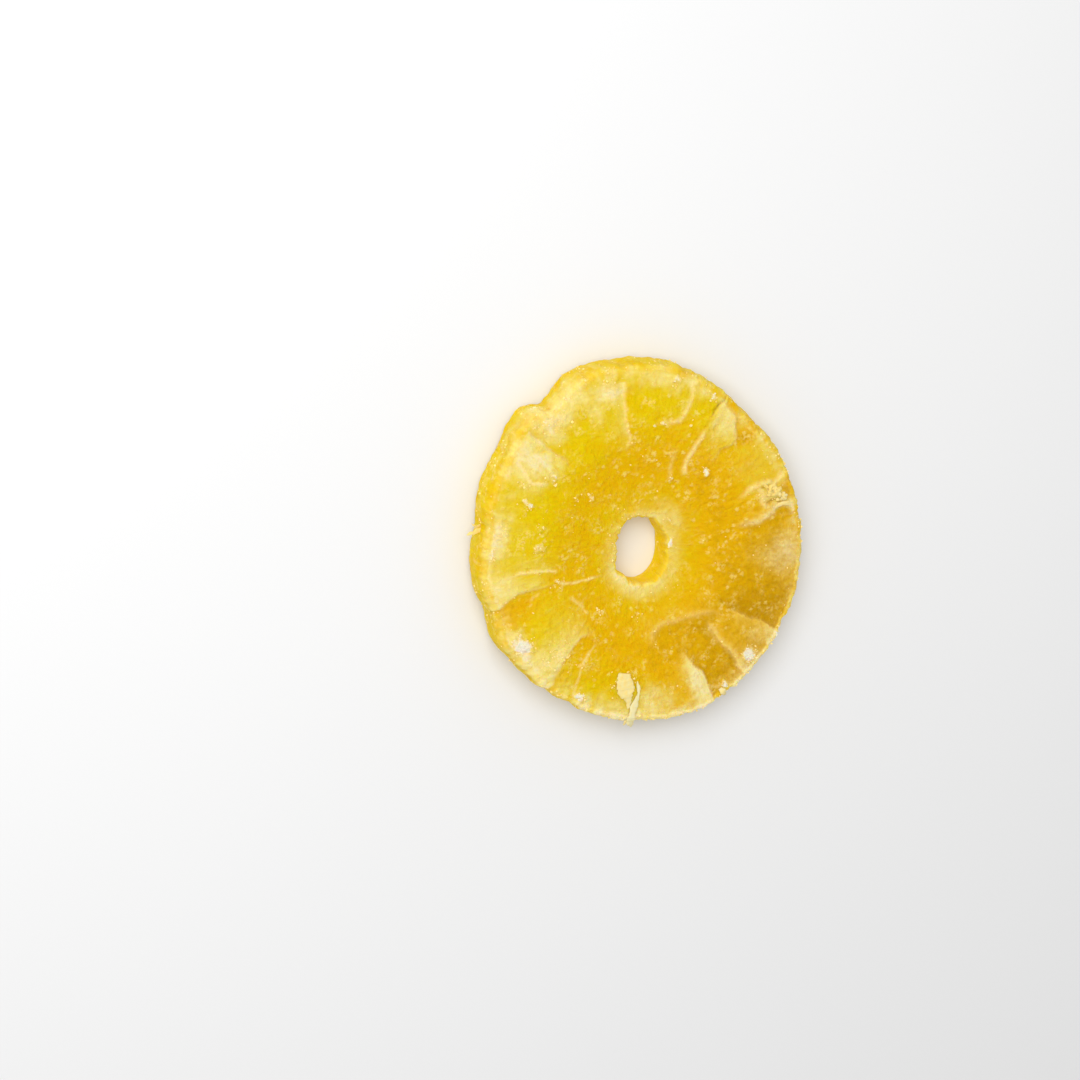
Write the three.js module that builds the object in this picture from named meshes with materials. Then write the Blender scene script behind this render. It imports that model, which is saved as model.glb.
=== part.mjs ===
// A ring of candied pineapple lying flat: one closed solid with the hole of the core through it.
// Millimetres, +Z up. The origin is under the middle of the ring, on the face that it rests on.
// Angles are in degrees, anticlockwise from +X, seen from above.
import * as THREE from 'three';

// --- Driving dimensions ---

const MEAN_RADIUS = 39.4;
const RIM_THICKNESS = 10.2;
const HOLE_THICKNESS = 7.2;

// The core's hole is oval and sits a little off the middle.
const HOLE = { x: 0.45, y: -1.9, halfWidth: 5.75, halfLength: 7.65, longAxis: 105 };
const HOLE_LUMPS = [
  { angle: 214, halfWidth: 18, height: 0.5 },
  { angle: 27, halfWidth: 14, height: 0.4 },
  { angle: 60, halfWidth: 15, height: 0.5 },
  { angle: 176, halfWidth: 26, height: -0.4 },
];

// Slow waves of the outline: how many in a turn, how high, and where one has its crest.
const OUTLINE_WAVES = [
  { count: 1, height: 0.6, crest: 296 },
  { count: 2, height: 2.1, crest: 116 },
  { count: 3, height: 0.4, crest: 95 },
  { count: 4, height: 0.3, crest: 18 },
];

// Lumps (+) and nicks (-) where the knife passed between the eyes of the fruit.
const RIM_LUMPS = [
  { angle: 33, halfWidth: 6, height: 0.4 },
  { angle: 50, halfWidth: 8, height: -0.5 },
  { angle: 80, halfWidth: 7, height: 0.4 },
  { angle: 124, halfWidth: 5.5, height: -2 },
  { angle: 126.8, halfWidth: 1.6, height: -0.6 },
  { angle: 135.5, halfWidth: 5, height: 0.9 },
  { angle: 161, halfWidth: 4, height: 0.3 },
  { angle: 172, halfWidth: 5, height: -0.7 },
  { angle: 186, halfWidth: 5, height: 0.3 },
  { angle: 202, halfWidth: 6, height: -0.5 },
  { angle: 214, halfWidth: 5, height: 0.8 },
  { angle: 246, halfWidth: 4, height: -0.3 },
  { angle: 272, halfWidth: 6, height: -0.3 },
  { angle: 290, halfWidth: 7, height: 0.4 },
  { angle: 341, halfWidth: 6, height: 0.3 },
];

// Slow waves of the rim's thickness.
const THICKNESS_WAVES = [
  { count: 2, height: 0.25, crest: 40 },
  { count: 5, height: 0.2, crest: 12 },
];

// Seams between the fruitlets on the upper face. Each runs outwards from a radius. A step lifts the
// anticlockwise side (+) or the clockwise side (-), and a groove sinks the seam itself.
const FACE_SEAMS = [
  { angle: 10, from: 20, step: 0.7, groove: 0.2 },
  { angle: 24, from: 20, step: -0.4, groove: 0.4 },
  { angle: 49, from: 20, step: 0.9, groove: 0.3 },
  { angle: 63, from: 17, step: -0.7, groove: 0.3 },
  { angle: 75, from: 26, step: 0.3, groove: 0.2 },
  { angle: 101, from: 22, step: -0.6, groove: 0.2 },
  { angle: 135.5, from: 22, step: 0.4, groove: 0.9 },
  { angle: 150, from: 24, step: -0.6, groove: 0.2 },
  { angle: 190, from: 18, step: 0.3, groove: 0.2 },
  { angle: 199, from: 20, step: -0.9, groove: 0.2 },
  { angle: 234.5, from: 21, step: -0.6, groove: 0.3 },
  { angle: 244, from: 21, step: 0.3, groove: 0.2 },
  { angle: 266, from: 26, step: -0.3, groove: 0.2 },
  { angle: 296, from: 23, step: -0.9, groove: 0.2 },
  { angle: 311, from: 20, step: -0.6, groove: 0.2 },
  { angle: 327, from: 22, step: -0.6, groove: 0.2 },
  { angle: 346, from: 24, step: 0.5, groove: 0.1 },
];

// The same on the underside, which stays flat where the ring rests.
const UNDERSIDE_SEAMS = [
  { angle: 14, from: 27, step: 0.5, groove: 0.4 },
  { angle: 58, from: 28, step: -0.5, groove: 0.3 },
  { angle: 97, from: 28, step: 0.6, groove: 0.5 },
  { angle: 140, from: 27, step: -0.5, groove: 0.5 },
  { angle: 176, from: 28, step: 0.4, groove: 0.4 },
  { angle: 221, from: 27, step: -0.6, groove: 0.3 },
  { angle: 259, from: 28, step: 0.5, groove: 0.5 },
  { angle: 305, from: 27, step: -0.4, groove: 0.4 },
  { angle: 338, from: 28, step: 0.5, groove: 0.3 },
];

// Widths that belong to every seam: the step's rise, how far it fades, the groove and its start.
const SEAM = { rise: 0.9, fade: 5, grooveWidth: 1.1, start: 7 };

// How deep the corners round off, at the rim and at the hole.
const RIM_ROUNDING = 2.1;
const HOLE_ROUNDING = 0.8;
// Each seam of the face runs on down the rim as a furrow, deepest at half height.
const FURROW = { halfWidth: 2.5, depth: 0.5 };
// The underside lifts off the table near the rim, from this share of the way out.
const UNDERSIDE_LIFT = { from: 0.68, height: 0.7 };
// Below 1 a corner is squarer than a circle's.
const CORNER_SQUARENESS = 0.62;
// The upper face rises from the hole to this share of the way out, and is level from there.
const DISH_END = 0.72;

// --- Steps of the mesh ---

const TURN_STEPS = 120;
const UNDERSIDE_STEPS = 5;
const RIM_STEPS = 9;
const FACE_STEPS = 12;
const HOLE_STEPS = 5;

const radians = THREE.MathUtils.degToRad;
const smooth = THREE.MathUtils.smoothstep;

// The signed angle from one direction to another, between -180 and 180 degrees.
function turnBetween(from, to) {
  return THREE.MathUtils.euclideanModulo(to - from + 180, 360) - 180;
}

function waves(list, angle) {
  return list.reduce((sum, wave) => sum + wave.height * Math.cos(radians(wave.count * (angle - wave.crest))), 0);
}

function lumps(list, angle) {
  return list.reduce((sum, lump) => {
    const away = turnBetween(lump.angle, angle) / lump.halfWidth;
    return sum + lump.height * Math.exp(-away * away);
  }, 0);
}

function direction(angle) {
  return new THREE.Vector2(Math.cos(radians(angle)), Math.sin(radians(angle)));
}

function rimPoint(angle) {
  const radius = MEAN_RADIUS + waves(OUTLINE_WAVES, angle) + lumps(RIM_LUMPS, angle);
  return direction(angle).multiplyScalar(radius);
}

function holePoint(angle) {
  const toLongAxis = radians(angle - HOLE.longAxis);
  const oval = 1 / Math.hypot(Math.cos(toLongAxis) / HOLE.halfLength, Math.sin(toLongAxis) / HOLE.halfWidth);
  const radius = oval + lumps(HOLE_LUMPS, angle);
  return direction(angle).multiplyScalar(radius).add(new THREE.Vector2(HOLE.x, HOLE.y));
}

// The relief of a list of seams at a point: a step that fades on both sides, and a groove.
function seamRelief(seams, point) {
  const radius = point.length();
  const angle = THREE.MathUtils.radToDeg(Math.atan2(point.y, point.x));
  return seams.reduce((sum, seam) => {
    const across = radius * radians(turnBetween(seam.angle, angle));
    const strength = smooth(radius, seam.from, seam.from + SEAM.start);
    const step = 0.5 * seam.step * Math.tanh(across / SEAM.rise) * Math.exp(-Math.abs(across) / SEAM.fade);
    const groove = seam.groove * Math.exp(-((across / SEAM.grooveWidth) ** 2));
    return sum + strength * (step - groove);
  }, 0);
}

// Height of the upper face at a point, with its share of the way from the hole to the rim.
function faceHeight(point, share, angle) {
  const rise = RIM_THICKNESS - HOLE_THICKNESS + waves(THICKNESS_WAVES, angle);
  return HOLE_THICKNESS + rise * smooth(share, 0, DISH_END) + seamRelief(FACE_SEAMS, point);
}

// Height of the underside: flat on the table, and lifted with its seams near the rim.
function undersideHeight(point, share) {
  const lift = smooth(share, UNDERSIDE_LIFT.from, 1);
  return lift * Math.max(0, UNDERSIDE_LIFT.height - seamRelief(UNDERSIDE_SEAMS, point));
}

// How far the rim is drawn in at an angle, at a height from the bottom (-1) to the top (1).
function furrowDepth(angle, up) {
  const deepest = FACE_SEAMS.reduce((most, seam) => {
    const away = turnBetween(seam.angle, angle) / FURROW.halfWidth;
    return Math.max(most, Math.exp(-away * away));
  }, 0);
  return FURROW.depth * deepest * (1 - up * up);
}

// A corner of the section from straight down (turn -90) over outwards (0) to straight up (90).
function corner(turn) {
  const shape = (value) => Math.sign(value) * Math.abs(value) ** CORNER_SQUARENESS;
  return { out: shape(Math.cos(radians(turn))), up: shape(Math.sin(radians(turn))) };
}

// The closed section at an angle: along the underside, up the rim, back over the face, down the hole.
function section(angle) {
  const inner = holePoint(angle);
  const outer = rimPoint(angle);
  const span = outer.distanceTo(inner);
  const points = [];
  const add = (along, height) => {
    const point = inner.clone().lerp(outer, along / span);
    points.push(new THREE.Vector3(point.x, point.y, height));
  };
  const heightAt = (along) => faceHeight(inner.clone().lerp(outer, along / span), along / span, angle);
  const faceStart = HOLE_ROUNDING;
  const faceEnd = span - RIM_ROUNDING;
  const rimTop = heightAt(faceEnd);
  const rimBottom = undersideHeight(inner.clone().lerp(outer, faceEnd / span), faceEnd / span);
  const holeTop = heightAt(faceStart);

  for (let i = 0; i <= UNDERSIDE_STEPS; i++) {
    const along = THREE.MathUtils.lerp(faceStart, faceEnd, i / UNDERSIDE_STEPS);
    add(along, undersideHeight(inner.clone().lerp(outer, along / span), along / span));
  }
  for (let i = 1; i < RIM_STEPS; i++) {
    const { out, up } = corner(-90 + (180 * i) / RIM_STEPS);
    const height = THREE.MathUtils.lerp(rimBottom, rimTop, (1 + up) / 2);
    add(faceEnd + RIM_ROUNDING * out - furrowDepth(angle, up), height);
  }
  for (let i = 0; i <= FACE_STEPS; i++) {
    const along = THREE.MathUtils.lerp(faceEnd, faceStart, i / FACE_STEPS);
    add(along, heightAt(along));
  }
  for (let i = 1; i < HOLE_STEPS; i++) {
    const { out, up } = corner(90 - (180 * i) / HOLE_STEPS);
    add(faceStart - HOLE_ROUNDING * out, (holeTop / 2) * (1 + up));
  }
  return points;
}

// Joins the sections round the turn into one closed surface whose faces point outwards.
function ringGeometry() {
  const sections = Array.from({ length: TURN_STEPS }, (_, i) => section((360 * i) / TURN_STEPS));
  const count = sections[0].length;
  const index = [];
  for (let i = 0; i < TURN_STEPS; i++) {
    const here = i * count;
    const next = ((i + 1) % TURN_STEPS) * count;
    for (let j = 0; j < count; j++) {
      const k = (j + 1) % count;
      index.push(here + j, next + j, next + k);
      index.push(here + j, next + k, here + k);
    }
  }
  const geometry = new THREE.BufferGeometry().setFromPoints(sections.flat());
  geometry.setIndex(index);
  return geometry;
}

// Puts the middle of the outline's box over the origin, with the resting face at height 0.
function centre(geometry) {
  geometry.computeBoundingBox();
  const middle = geometry.boundingBox.getCenter(new THREE.Vector3());
  geometry.translate(-middle.x, -middle.y, -geometry.boundingBox.min.z);
  geometry.computeVertexNormals();
  return geometry;
}

const flesh = new THREE.MeshStandardMaterial({ color: 0xe6c32a, roughness: 0.45, metalness: 0 });
const ring = new THREE.Mesh(centre(ringGeometry()), flesh);
ring.name = 'pineapple_ring';

const part = new THREE.Group();
part.add(ring);

export default part;
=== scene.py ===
"""A ring of candied pineapple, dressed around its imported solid.

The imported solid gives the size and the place. A fine surface of the same form stands for it, with the
seams of the fruitlets, the torn places and the frosted edge worked out as fields over the ring. Sugar
grains and shreds of torn fibre lie on that surface. Drawn sizes are millimetres and degrees
anticlockwise from +X, seen from above; the meshes are in metres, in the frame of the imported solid.
"""

import logging
import math
from dataclasses import dataclass, field
from enum import Enum
from typing import Any, Callable

import bpy
import numpy as np
from mathutils import Matrix, Vector


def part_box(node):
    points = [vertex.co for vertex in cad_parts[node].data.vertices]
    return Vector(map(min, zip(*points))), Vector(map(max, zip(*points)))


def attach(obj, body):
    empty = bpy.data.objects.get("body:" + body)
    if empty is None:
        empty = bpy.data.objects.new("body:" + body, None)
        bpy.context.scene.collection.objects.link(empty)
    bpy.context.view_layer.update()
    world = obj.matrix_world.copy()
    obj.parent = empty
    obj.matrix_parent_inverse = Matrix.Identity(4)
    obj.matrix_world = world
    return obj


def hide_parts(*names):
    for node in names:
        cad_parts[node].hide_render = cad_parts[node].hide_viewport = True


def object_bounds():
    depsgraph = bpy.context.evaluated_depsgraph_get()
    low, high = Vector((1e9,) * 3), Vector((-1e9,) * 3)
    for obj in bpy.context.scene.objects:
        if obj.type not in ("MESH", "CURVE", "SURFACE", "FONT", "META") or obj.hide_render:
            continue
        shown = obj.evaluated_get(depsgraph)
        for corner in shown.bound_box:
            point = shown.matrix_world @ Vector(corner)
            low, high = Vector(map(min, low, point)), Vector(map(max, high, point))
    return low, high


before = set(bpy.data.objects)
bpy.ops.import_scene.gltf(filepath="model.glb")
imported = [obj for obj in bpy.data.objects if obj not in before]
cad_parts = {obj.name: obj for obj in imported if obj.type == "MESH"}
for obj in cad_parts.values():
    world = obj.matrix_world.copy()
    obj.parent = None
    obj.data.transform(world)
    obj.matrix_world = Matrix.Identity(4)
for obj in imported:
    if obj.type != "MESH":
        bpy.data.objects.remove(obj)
CAD_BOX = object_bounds()

NODE = "pineapple_ring"
BODY = "root"
Array = np.ndarray
Colour = tuple[float, float, float]
Placing = Callable[[np.ndarray], np.ndarray]
log = logging.getLogger("ring")


# --- Numbers over arrays ---


def smooth(value: Array | float, low: float, high: float) -> Array:
    """Eases from 0 at low to 1 at high: 3t^2 - 2t^3 of the share t of the way, held at both ends.

    Args:
        value: where to read the ramp.
        low: where it leaves 0.
        high: where it reaches 1.

    Returns:
        The eased share, in the shape of value.
    """
    share = np.clip((value - low) / (high - low), 0.0, 1.0)
    return share * share * (3.0 - 2.0 * share)


def bell(value: Array) -> Array:
    """A bell curve, exp(-value^2): 1 at 0 and nearly 0 past 2."""
    return np.exp(-value * value)


def turn_between(start: Array | float, end: Array | float) -> Array:
    """The signed angle from start to end, between -180 and 180 degrees."""
    return (end - start + 180.0) % 360.0 - 180.0


def facing(angle: Array, towards: float) -> Array:
    """How far an angle faces a direction: 1 towards it, 0 across it and -1 away from it."""
    return np.cos(np.radians(angle - towards))


def radius_of(places: Array) -> Array:
    """The distance of drawn places, last axis 2 or 3, from the middle of the drawing."""
    return np.hypot(places[..., 0], places[..., 1])


def level(places: Array) -> Array:
    """Drawn places, last axis 2, with a height of 0 as well."""
    return np.concatenate([places, np.zeros(places.shape[:-1] + (1,))], -1)


def lattice_value(cells: Array, seed: int) -> Array:
    """A fixed random number from 0 to 1 for each whole-numbered cell, by mixing its three numbers.

    Args:
        cells: whole numbers, last axis 3.
        seed: picks another set of numbers.

    Returns:
        One number a cell.
    """
    keys = np.array([73856093, 19349663, 83492791], np.uint64)
    mixed = (cells.astype(np.int64).astype(np.uint64) * keys).sum(-1) + np.uint64(seed * 2654435761)
    mixed = mixed & np.uint64(0xFFFFFFFF)
    for shift in (13, 17, 5):
        mixed = ((mixed ^ (mixed >> np.uint64(shift))) * np.uint64(1274126177)) & np.uint64(0xFFFFFFFF)
    return mixed / float(0xFFFFFFFF)


def noise(points: Array, size: float, seed: int) -> Array:
    """Smooth noise from -1 to 1: random values at the corners of cubes, eased from corner to corner.

    Args:
        points: places, last axis 3.
        size: side of the cubes, in the units of points.
        seed: picks another pattern.

    Returns:
        One number a place.
    """
    scaled = points / size
    cell = np.floor(scaled)
    share = scaled - cell
    share = share * share * (3.0 - 2.0 * share)
    total = np.zeros(points.shape[:-1])
    for corner in np.ndindex(2, 2, 2):
        offset = np.array(corner)
        weight = np.where(offset == 1, share, 1.0 - share).prod(-1)
        total += weight * lattice_value(cell + offset, seed)
    return 2.0 * total - 1.0


def layered_noise(points: Array, size: float, seed: int, layers: int = 3) -> Array:
    """Noise of several sizes: each layer has half the size and half the strength of the one before.

    Args:
        points: places, last axis 3.
        size: size of the first layer.
        seed: its seed; each later layer has the next one.
        layers: how many there are.

    Returns:
        One number a place, from -1 to 1.
    """
    strengths = 0.5 ** np.arange(layers)
    parts = [s * noise(points, size * s, seed + i) for i, s in enumerate(strengths)]
    return sum(parts) / strengths.sum()


def plane_noise(places: Array, size: float, seeds: tuple[int, int]) -> Array:
    """Shifts in the plane at drawn places, last axis 2: layered noise from one seed an axis."""
    return np.stack([layered_noise(level(places), size, seed) for seed in seeds], -1)


def course_of(places: Array, per_radian: float, length: float) -> Array:
    """Where patterns that run outwards are read, last axis 3: streaks are narrow round and long outwards.

    Args:
        places: drawn places with their heights.
        per_radian: how many streaks a radian takes.
        length: length of a streak outwards and upwards.

    Returns:
        The places at which a finish reads its streaks.
    """
    radius = radius_of(places)[..., None]
    return np.concatenate([places[..., :2] / radius * per_radian, (radius + places[..., 2:]) / length], -1)


# --- What is drawn on the ring ---


@dataclass(frozen=True)
class Wave:
    """A slow wave round the ring: how many in a turn, how high, and where one has its crest."""

    count: int
    height: float
    crest: float


@dataclass(frozen=True)
class Lump:
    """A lump (+) or nick (-) at an angle: half its width in degrees, and its height."""

    angle: float
    half_width: float
    height: float


@dataclass(frozen=True)
class Crease:
    """A seam, vein or crack on the face, along a curve through (radius, angle) points.

    Walking along the points, step lifts the left side above the right one, groove sinks the line,
    lip raises it and line whitens it. Pale milks the left side (+) or the right side (-) as far as
    reach, and deep turns the other side amber. Dark browns the line: painted shade down in the crack.
    Start and end are the shares of the length over which the crease comes in and dies out.
    """

    path: tuple[tuple[float, float], ...]
    step: float = 0.0
    groove: float = 0.0
    lip: float = 0.0
    line: float = 0.0
    pale: float = 0.0
    deep: float = 0.0
    dark: float = 0.0
    width: float = 0.5
    reach: float = 3.0
    start: float = 0.35
    end: float = 0.02


class Cover(Enum):
    """What a patch lays over the flesh."""

    SUGAR = "sugar"
    PALE = "pale"
    DEEP = "deep"


@dataclass(frozen=True)
class Patch:
    """An uneven oval on the face: its middle, half sizes round and outwards, and its strength."""

    cover: Cover
    angle: float
    radius: float
    around: float
    outwards: float
    strength: float


OUTLINE_WAVES = (Wave(1, 0.6, 296), Wave(2, 2.1, 116), Wave(3, 0.4, 95), Wave(4, 0.3, 18))

RIM_LUMPS = (
    Lump(33, 6, 0.4),
    Lump(50, 8, -0.5),
    Lump(80, 7, 0.4),
    Lump(124, 5.5, -2.0),
    Lump(126.8, 1.6, -0.6),
    Lump(135.5, 5, 0.9),
    Lump(161, 4, 0.3),
    Lump(172, 5, -0.7),
    Lump(186, 5, 0.3),
    Lump(202, 6, -0.5),
    Lump(214, 5, 0.8),
    Lump(246, 4, -0.3),
    Lump(272, 6, -0.3),
    Lump(290, 7, 0.4),
    Lump(341, 6, 0.3),
)

HOLE_LUMPS = (Lump(214, 18, 0.5), Lump(27, 14, 0.4), Lump(60, 15, 0.5), Lump(176, 26, -0.4))

THICKNESS_WAVES = (Wave(2, 0.25, 40), Wave(5, 0.2, 12))

# A crease's step rises over the first distance and dies away over the second. A seam that comes
# further out than the radius draws in the rim's wall.
STEP_RISE = 0.45
STEP_FADE = 4.0
FURROW_FROM = 36.0

# The radius at which outward streaks have their stated width.
STREAK_RADIUS = 38.0

# How far noise shifts the places at which creases and patches are read.
CREASE_SHIFT = 0.45
PATCH_SHIFT = 1.4

# Where round the ring each look is strongest; a crest is one of the two that the hole's milk has.
HOLE_MILK_AT = 281.0
HOLE_MILK_CREST_AT = 49.0
RIM_MILK_AT = 120.0
# Painted shade at the rim's edge, which rounds away from the window there.
RIM_PAINTED_SHADE_AT = 20.0
LEDGE_PALE_AT = 268.0
# Painted shade on the ledge where it faces the window.
LEDGE_PAINTED_SHADE_AT = 115.0
# Amber and painted shade, away from the window.
AMBER_AND_PAINTED_SHADE_AT = 332.0
FRINGE_SUGAR_AT = 210.0
# The rim's wall is turned from the window and shaded here, and is painted lighter for it.
SHADED_AT = 290.0
NOTCH_AT = 127.0

CREASES = (
    # Right: the torn place between two seams that a third one joins.
    Crease(((21.2, 8.4), (23.6, 9.6), (27.3, 9.9), (30, 11.4), (31.3, 13.7), (33.8, 14.4), (35.3, 12.7),
            (36, 9.3)), step=0.36, lip=0.12, line=0.95, pale=0.3, deep=0.5, reach=2.0, width=0.7),
    Crease(((23.2, 23), (25.4, 24.6), (28.2, 26), (31.3, 25.3), (33.2, 23.9), (36.6, 25.6)), lip=0.12,
           line=0.68, step=-0.24, pale=-0.2, reach=1.5, width=0.6),
    Crease(((29.9, 25), (29.2, 21.5), (29, 17.5), (29.9, 13.6)), lip=0.07, line=0.59, width=0.64, start=0.1,
           end=0.1),
    Crease(((29.7, 24), (30.7, 23.7), (31.6, 23.2)), groove=0.5, dark=0.5, width=0.24, start=0.2, end=0.3),
    Crease(((29.4, 16.9), (31.6, 16.6), (34.2, 15.4)), groove=0.7, dark=0.4, width=0.32, start=0.1, end=0.2),
    # Upper right: a raised flap with a scalloped end, and the ridge on its other side.
    Crease(((20.5, 52), (23.4, 51), (26.8, 51.2), (29.5, 48.8), (31, 49.4), (32.9, 53), (34.5, 55.2),
            (34.9, 58.6), (35.9, 61.6)), step=0.72, line=0.42, lip=0.05, pale=0.35, deep=0.4, reach=3.5,
           width=0.32, start=0.6),
    Crease(((31.2, 64), (33.9, 63.7), (35.6, 62.6), (36.8, 61.5)), groove=0.6, dark=0.5, width=0.2,
           start=0.2, end=0.2),
    Crease(((18.2, 57), (18.7, 62), (21.7, 63.8), (25.1, 64), (29.8, 63)), lip=0.25, line=0.85, width=0.52,
           start=0.1, end=0.25),
    Crease(((37.5, 77), (36.6, 75.8), (33.7, 74.3), (31.1, 74.9), (28.8, 76.5), (28, 81), (27.9, 88)),
           line=0.68, lip=0.07, width=0.44, start=0.1, end=0.3, deep=0.15, pale=-0.15),
    Crease(((15.2, 69), (18, 72), (21, 73.7), (23.5, 73.4)), line=0.34, lip=0.05, start=0.1, end=0.4),
    # Top: a pale ledge.
    Crease(((20.8, 104.5), (25, 100.3), (27.5, 101.6), (31.7, 101), (34, 100.9), (37.5, 100)), step=-0.32,
           line=0.64, pale=0.6, deep=0.3, reach=2.2, width=0.28),
    # Upper left: the deep groove beside the milky lobe.
    Crease(((24.2, 134.8), (25.6, 134.5), (28.1, 134.2), (31.2, 135.4), (34.5, 136.2), (38.6, 136.6)),
           step=0.32, groove=0.5, line=0.34, pale=0.45, deep=0.2, reach=6.0, width=0.32, start=0.3),
    Crease(((36.5, 146), (35, 147.1), (32, 149.3), (30.3, 149.8), (28.6, 148.4), (26.8, 146)), line=1.0,
           lip=0.1, width=0.32, start=0.1, end=0.2, pale=-0.4, deep=0.3, reach=2.5),
    # Left: a thin vein, then the big ledge that turns into a vein curling in to the core.
    Crease(((20.3, 194.5), (20.7, 193), (22.7, 191.8), (26.6, 189.3), (29.8, 189.5), (33, 191)), line=0.85,
           lip=0.1, width=0.32, start=0.1, end=0.35, pale=-0.25, reach=2.5),
    Crease(((21, 200.6), (24.4, 199.8), (27.7, 198.1), (31.2, 198), (34.9, 200), (37.5, 202.5)), step=-0.72,
           line=0.34, pale=-0.5, deep=0.5, reach=4.0, width=0.28),
    Crease(((21, 200.6), (18.5, 204.8), (15.3, 209), (12.6, 213.4), (11, 220)), line=0.81, lip=0.1,
           width=0.32, start=0.05, end=0.3),
    Crease(((25.3, 200.8), (27, 202), (28.8, 203)), line=0.38, lip=0.05, width=0.28, start=0.3, end=0.3),
    Crease(((20.2, 212), (19.2, 219), (19.0, 226), (19.6, 233)), line=0.51, lip=0.06, width=0.32,
           start=0.2, end=0.2),
    # Lower left: two seams.
    Crease(((21.3, 243.5), (23.9, 236.2), (26.7, 233.9), (29.9, 234.2), (33.1, 234.6), (36.8, 236)),
           step=-0.48, line=0.59, pale=-0.6, deep=0.4, reach=5.0, width=0.28),
    Crease(((22.4, 244.9), (25.5, 243.7), (29.5, 243), (33.6, 244.7), (37, 245.3)), step=0.16, line=0.68,
           lip=0.07, width=0.28),
    # Bottom: the arc round a fruitlet, the wedge and the ledge beyond it.
    Crease(((24.5, 276.6), (20.6, 281.8), (19.6, 289.6), (20.5, 301.4), (21.9, 309.9), (23.5, 316),
            (27, 321)), step=0.2, line=0.3, pale=0.22, deep=0.4, reach=3.0, width=0.6, start=0.2, end=0.3),
    Crease(((26.2, 292.4), (29.5, 294), (32.8, 296.6), (36.2, 297.6), (41.5, 296.9)), step=-0.88,
           line=0.77, lip=0.05, pale=-0.85, deep=0.5, reach=2.6, width=0.24),
    Crease(((23.8, 312.6), (27.9, 310.5), (31, 310.6), (34.9, 311), (38.3, 309.9), (41, 309)), step=0.3,
           line=0.3, lip=0.05, pale=0.4, deep=0.3, reach=1.6, width=0.6, start=0.15),
    Crease(((37.6, 297), (38.6, 299.5), (39.2, 303), (40.4, 305)), line=0.42, lip=0.1, width=0.24, start=0.2,
           end=0.2),
    # Lower right: the ledge down to the clearest, darkest flesh, which milks over again further round.
    Crease(((25, 321.5), (28.7, 325), (32.2, 325.8), (35.6, 327.4), (40.5, 327.6)), step=-0.56, line=0.13,
           pale=-0.35, deep=0.8, reach=3.5, width=0.36),
)

# The underside's seams end at this radius. Each row has where a seam starts, a point on its way, the
# angle at which it ends, and its step, groove, line, pale and deep.
UNDERSIDE_END = 38.0
UNDERSIDE_ROWS = (
    ((27, 12), (33, 15), 14, 0.5, 0.4, 0.4, 0.5, 0.3),
    ((28, 60), (33, 57), 58, -0.5, 0.3, 0.4, -0.5, 0.3),
    ((28, 96), (33, 98), 97, 0.6, 0.5, 0.5, 0.6, 0.3),
    ((27, 142), (32, 139), 140, -0.5, 0.5, 0.4, -0.5, 0.4),
    ((28, 175), (33, 177), 176, 0.4, 0.4, 0.4, 0.5, 0.3),
    ((27, 219), (33, 222), 221, -0.6, 0.3, 0.5, -0.6, 0.4),
    ((28, 260), (33, 258), 259, 0.5, 0.5, 0.4, 0.5, 0.3),
    ((27, 306), (33, 304), 305, -0.4, 0.4, 0.4, -0.5, 0.3),
    ((28, 337), (33, 339), 338, 0.5, 0.3, 0.4, 0.5, 0.3),
)
UNDERSIDE_CREASES = tuple(
    Crease((*row[:2], (UNDERSIDE_END, row[2])), *row[3:5], line=row[5], pale=row[6], deep=row[7])
    for row in UNDERSIDE_ROWS
)

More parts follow.
